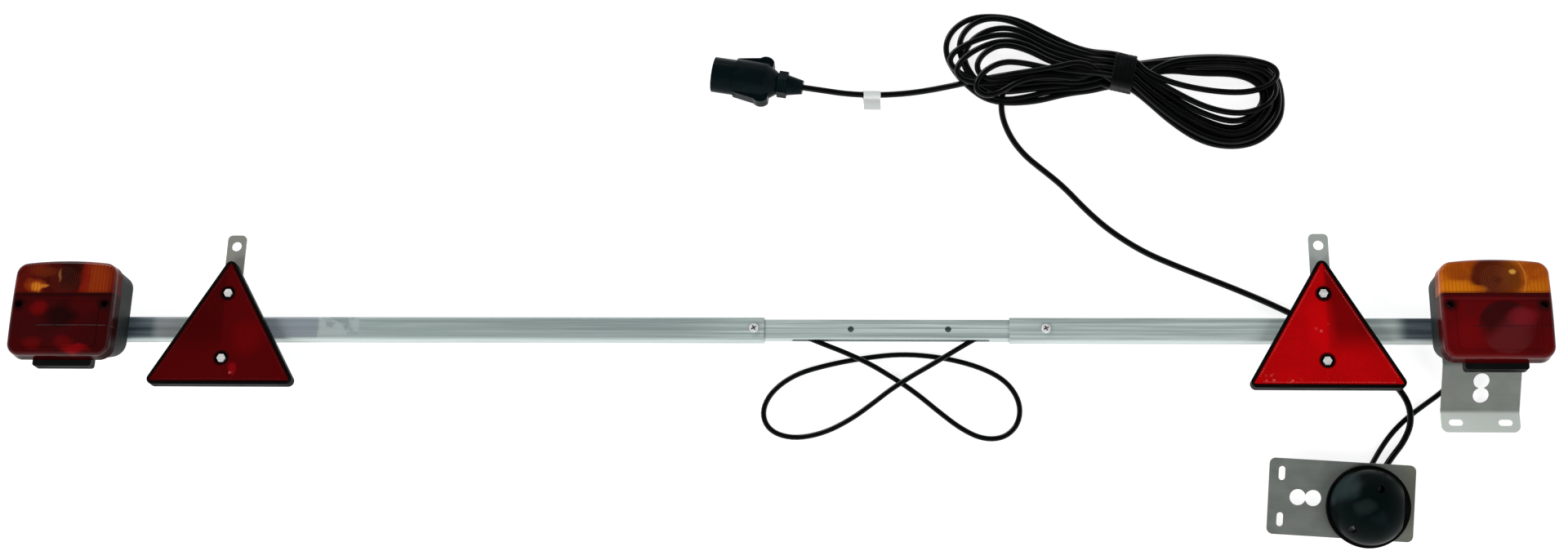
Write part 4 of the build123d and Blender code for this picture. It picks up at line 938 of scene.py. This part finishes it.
# cables: the same routes as the model, in metres
tailRoute = [
    (0.2450, 0.3220, 0.0034), (0.2459, 0.3003, 0.0034), (0.2551, 0.2767, 0.0034),
    (0.2696, 0.2569, 0.0034), (0.2866, 0.2420, 0.0034), (0.3090, 0.2224, 0.0034),
    (0.3328, 0.1948, 0.0034), (0.3577, 0.1711, 0.0034), (0.3908, 0.1484, 0.0034),
    (0.4240, 0.1331, 0.0034), (0.4570, 0.1192, 0.0034), (0.4898, 0.1052, 0.0034),
    (0.5224, 0.0900, 0.0034), (0.5560, 0.0724, 0.0034), (0.5900, 0.0516, 0.0034),
    (0.6200, 0.0280, 0.0034), (0.6410, 0.0040, 0.0040), (0.6500, -0.0150, 0.0098),
    (0.6510, -0.0360, 0.0098), (0.6434, -0.0536, 0.0042), (0.6320, -0.0676, 0.0034),
    (0.6234, -0.0794, 0.0036), (0.6189, -0.0886, 0.0054), (0.6172, -0.0945, 0.0108),
    (0.6171, -0.0971, 0.0194),
]
leadRoute = [
    (0.032587, 0.329927, 0.0206), (0.053305, 0.326497, 0.0206), (0.0790, 0.3244, 0.0154),
    (0.1060, 0.3258, 0.0084), (0.1320, 0.3282, 0.0042), (0.1600, 0.3316, 0.0034),
    (0.1920, 0.3380, 0.0034),
]
linkRoute = [
    (0.6038, -0.0931, 0.0204), (0.6039, -0.0903, 0.0114), (0.6056, -0.0846, 0.0052),
    (0.6112, -0.0756, 0.0030), (0.6210, -0.0595, 0.0029), (0.6335, -0.0430, 0.0029),
    (0.6486, -0.0286, 0.0029), (0.6650, -0.0162, 0.0029), (0.6820, -0.0040, 0.0029),
    (0.6990, 0.0105, 0.0034), (0.7130, 0.0225, 0.0070), (0.7219, 0.0306, 0.0136),
    (0.7261, 0.0342, 0.0216), (0.7265, 0.0346, 0.0290),
]
loopRoute = [
    (0.0040, 0.0635, 0.0175), (0.0220, 0.0590, 0.0175), (0.0400, 0.0514, 0.0175),
    (0.0580, 0.0440, 0.0168), (0.0760, 0.0380, 0.0130), (0.0940, 0.0310, 0.0096),
    (0.1120, 0.0220, 0.0082), (0.1270, 0.0136, 0.0042), (0.1410, 0.0050, 0.0029),
    (0.1580, -0.0076, 0.0029), (0.1780, -0.0246, 0.0029), (0.2000, -0.0420, 0.0029),
    (0.2220, -0.0530, 0.0029), (0.2440, -0.0518, 0.0029), (0.2590, -0.0370, 0.0029),
    (0.2610, -0.0140, 0.0029), (0.2470, 0.0090, 0.0029), (0.2190, 0.0240, 0.0029),
    (0.1800, 0.0340, 0.0029), (0.1400, 0.0374, 0.0029), (0.1020, 0.0332, 0.0029),
    (0.0620, 0.0252, 0.0029), (0.0280, 0.0146, 0.0029), (0.0040, -0.0046, 0.0029),
    (-0.0046, -0.0270, 0.0029), (0.0046, -0.0460, 0.0029), (0.0290, -0.0536, 0.0029),
    (0.0600, -0.0476, 0.0029), (0.0880, -0.0326, 0.0031), (0.1100, -0.0166, 0.0060),
    (0.1280, -0.0026, 0.0088), (0.1500, 0.0120, 0.0092), (0.1690, 0.0230, 0.0100),
    (0.1880, 0.0344, 0.0120), (0.2050, 0.0438, 0.0164), (0.2200, 0.0522, 0.0175),
    (0.2330, 0.0594, 0.0175), (0.2460, 0.0635, 0.0175),
]

# the hank: a loose figure of eight tied at its waist, each turn with lobes of its own, in millimetres
hank = {
    "tie": (375, 347), "heading": -14.0, "rightHeading": -24.0, "leftDrop": -0.05,
    "floor": 4.6, "rowStep": 6.4, "spread": 14.4, "reach": 11.0,
    "left": [
        [(334, 340), (297, 343), (265, 338), (241, 322), (226, 320), (216, 330), (225, 348),
         (246, 360), (270, 358), (300, 350), (334, 347)],
        [(334, 342), (297, 347), (262, 343), (238, 339), (224, 343), (218, 356), (226, 371),
         (246, 382), (273, 375), (303, 357), (334, 351)],
        [(336, 339), (299, 343), (262, 340), (230, 336), (207, 339), (196, 350), (202, 364),
         (220, 378), (244, 387), (271, 384), (300, 365), (334, 356)],
        [(336, 337), (299, 340), (265, 336), (235, 334), (211, 343), (195, 355), (189, 366),
         (197, 378), (220, 390), (244, 396), (268, 393), (297, 374), (334, 360)],
        [(338, 335), (304, 335), (272, 331), (246, 328), (226, 334), (213, 349), (205, 367),
         (209, 384), (225, 399), (248, 405), (271, 399), (298, 382), (334, 365)],
        [(338, 333), (300, 331), (270, 323), (248, 320), (229, 326), (215, 341), (206, 360),
         (200, 380), (203, 397), (216, 412), (237, 418), (263, 412), (295, 390), (334, 369)],
        [(341, 331), (315, 328), (283, 319), (251, 317), (228, 322), (211, 336), (197, 352),
         (187, 371), (186, 389), (195, 406), (213, 418), (238, 420), (266, 415), (298, 396),
         (334, 374)],
    ],
    "leftLevel": [18.5, 16.0, 13.0, 10.0, 8.5, 5.5, 4.4],
    "right": [
        [(397, 319), (425, 294), (455, 272), (486, 265), (516, 271), (538, 293), (543, 318),
         (539, 346), (525, 364), (496, 369), (459, 370), (419, 366)],
        [(397, 322), (427, 298), (458, 277), (486, 270), (513, 277), (534, 299), (539, 321),
         (535, 345), (520, 361), (493, 366), (459, 366), (419, 364)],
        [(397, 326), (430, 302), (461, 282), (488, 275), (511, 282), (530, 303), (535, 322),
         (530, 344), (515, 358), (491, 362), (459, 362), (419, 362)],
        [(397, 330), (433, 306), (464, 287), (488, 280), (510, 287), (526, 306), (531, 322),
         (526, 342), (511, 354), (489, 359), (459, 358), (419, 360)],
        [(397, 334), (433, 311), (465, 293), (488, 286), (508, 292), (523, 308), (527, 322),
         (522, 340), (508, 350), (486, 355), (459, 354), (419, 358)],
        [(400, 338), (433, 318), (464, 301), (489, 294), (507, 299), (519, 312), (522, 324),
         (518, 337), (504, 346), (485, 350), (457, 350), (419, 355)],
        [(403, 343), (431, 327), (462, 310), (493, 303), (517, 308), (532, 321), (535, 335),
         (528, 349), (514, 357), (489, 361), (459, 361), (419, 361)],
        [(397, 349), (426, 339), (463, 330), (499, 327), (524, 333), (537, 345), (535, 356),
         (522, 363), (495, 367), (459, 368), (419, 365)],
    ],
    "rightLevel": [4.2, 10.2, 4.4, 10.4, 4.6, 10.6, 16.0, 17.0], "nearer": 0.4,
}


def hankTurns():
    angle = math.radians(hank["heading"])
    across = Vector((-math.sin(angle), math.cos(angle)))
    tie = Vector(hank["tie"])
    slope = math.radians(hank["rightHeading"])
    toRight = Vector((math.cos(slope), math.sin(slope))) * hank["reach"]
    toLeft = Vector((-1.0, hank["leftDrop"])) * hank["reach"]
    turns = len(hank["right"])
    points = []
    for index, lobe in enumerate(hank["right"]):
        lean = hank["spread"] * (2 * index / (turns - 1) - 1)
        lower = hank["floor"] + (index % 2) * hank["rowStep"]
        upper = lower + 2 * hank["rowStep"]
        level = hank["rightLevel"][index]
        near = hank["nearer"] * (level - hank["rightLevel"][0])
        points += [(*(tie + across * lean + toRight * way), upper) for way in (-1, 1)]
        heights = [(level + upper) / 2] + [level] * (len(lobe) - 2) + [(level + lower) / 2]
        points.append((lobe[0][0], lobe[0][1] - near / 2, heights[0]))
        points += [(x, y - near, z) for (x, y), z in zip(lobe[1:], heights[1:])]
        points += [(*(tie - across * lean + toLeft * way), lower) for way in (-1, 1)]
        if index < len(hank["left"]):  # the last right-hand lobe goes on to the tail
            lobe, level = hank["left"][index], hank["leftLevel"][index]
            heights = [(level + lower) / 2] + [level] * (len(lobe) - 2) + [(level + upper) / 2]
            points += [(x, y, z) for (x, y), z in zip(lobe, heights)]
    return [tuple(value * millimetre for value in point) for point in points]


def cordCurve(name, route, diameter, finish):
    data = bpy.data.curves.new(name, "CURVE")
    data.dimensions = "3D"
    data.resolution_u = 5
    data.bevel_depth = diameter / 2
    data.bevel_resolution = 4
    data.use_fill_caps = True
    spline = data.splines.new("NURBS")
    spline.points.add(len(route) - 1)
    for point, (x, y, z) in zip(spline.points, route):
        point.co = (x, y, z, 1.0)
    spline.order_u = 3  # after the points, or it stays at straight runs
    spline.use_endpoint_u = True
    data.materials.append(finish)
    cord = bpy.data.objects.new(name, data)
    scene.collection.objects.link(cord)
    return cord


# the main cable runs from the number-plate lamp through the tail and the hank to the plug
intoHank = [
    (0.2490, 0.3340, 0.0050), (0.2640, 0.3420, 0.0060), (0.3000, 0.3450, 0.0070),
    (0.3360, 0.3440, 0.0080),
]
outOfHank = [
    (0.3340, 0.3590, 0.0220), (0.2980, 0.3500, 0.0220), (0.2480, 0.3440, 0.0180),
    (0.2140, 0.3410, 0.0090),
]
mainRoute = tailRoute[::-1] + intoHank + hankTurns()[::-1] + outOfHank + leadRoute[::-1]
mainCord = cordCurve("mainCable", mainRoute, 0.0066, finishes["cable"])
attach(mainCord, "right_arm")
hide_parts("plug_lead", "cord_hank", "tail_cord")
linkCord = cordCurve("linkCable", linkRoute, 0.0056, finishes["cable"])
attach(linkCord, "right_arm")
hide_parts("link_cord")
loopCord = cordCurve("loopCable", loopRoute, 0.0056, finishes["cable"])
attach(loopCord, "centre_bar")
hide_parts("slack_loop")
print("stage 4: cables laid")

# floor and light
studio = {
    "floor": (0.41, 0.42), "mottle": (3.0, 2.0), "rough": 0.95, "shine": 0.1, "glow": 0.82,
    "reach": 6.0, "drop": -0.0004,
    "skyTint": (0.96, 0.98, 1.0, 1.0), "skyBand": (0.15, 0.85), "horizon": 0.95, "zenith": 0.14,
}
floorFinish, tree, skin = freshTree("paleFloor")
mottle = noiseAt(tree, place(tree), *studio["mottle"])
pale = ramp(tree, mottle, 0.2, 0.8, *studio["floor"])
mix = tree.nodes.new("ShaderNodeCombineColor")
for socket in mix.inputs:
    tree.links.new(pale, socket)
tree.links.new(mix.outputs[0], skin.inputs["Base Color"])
skin.inputs["Roughness"].default_value = studio["rough"]
skin.inputs["Specular IOR Level"].default_value = studio["shine"]
skin.inputs["Emission Color"].default_value = (1.0, 1.0, 1.0, 1.0)
skin.inputs["Emission Strength"].default_value = studio["glow"]
corners = [(-1, -1), (1, -1), (1, 1), (-1, 1)]
corners = [(x * studio["reach"], y * studio["reach"], studio["drop"]) for x, y in corners]
floorMesh = bpy.data.meshes.new("paleFloor")
floorMesh.from_pydata(corners, [], [(0, 1, 2, 3)])
floorMesh.materials.append(floorFinish)
floor = bpy.data.objects.new("paleFloor", floorMesh)
scene.collection.objects.link(floor)


def softBox(name, spot, aim, size, power, mirrored=False):
    data = bpy.data.lights.new(name, "AREA")
    data.shape = "RECTANGLE"
    data.size, data.size_y = size
    data.energy = power
    box = bpy.data.objects.new(name, data)
    look = (Vector(aim) - Vector(spot)).to_track_quat("-Z", "Y").to_matrix().to_4x4()
    box.matrix_world = Matrix.Translation(spot) @ look
    box.visible_glossy = mirrored
    scene.collection.objects.link(box)


softBox("keyBox", spot=(-1.7, -2.0, 2.1), aim=(0.0, 0.0, 0.0), size=(1.8, 1.2), power=62.0)
softBox("fillBox", spot=(2.1, -1.5, 1.9), aim=(0.2, 0.0, 0.0), size=(1.4, 1.2), power=34.0)
softBox("windowBox", spot=(-1.0, 2.4, 1.25), aim=(0.2, 0.0, 0.0), size=(1.6, 0.7), power=28.0,
        mirrored=True)
world = bpy.data.worlds.new("studioSky")
world.use_nodes = True
tree = world.node_tree
height = axes(tree, tree.nodes.new("ShaderNodeTexCoord").outputs["Generated"])["Z"]
sky = tree.nodes["Background"]
sky.inputs["Color"].default_value = studio["skyTint"]
band = ramp(tree, height, *studio["skyBand"], studio["horizon"], studio["zenith"])
put(sky.inputs["Strength"], band, tree)
scene.world = world
scene.view_settings.view_transform = "Standard"
print("stage 5: floor and light")
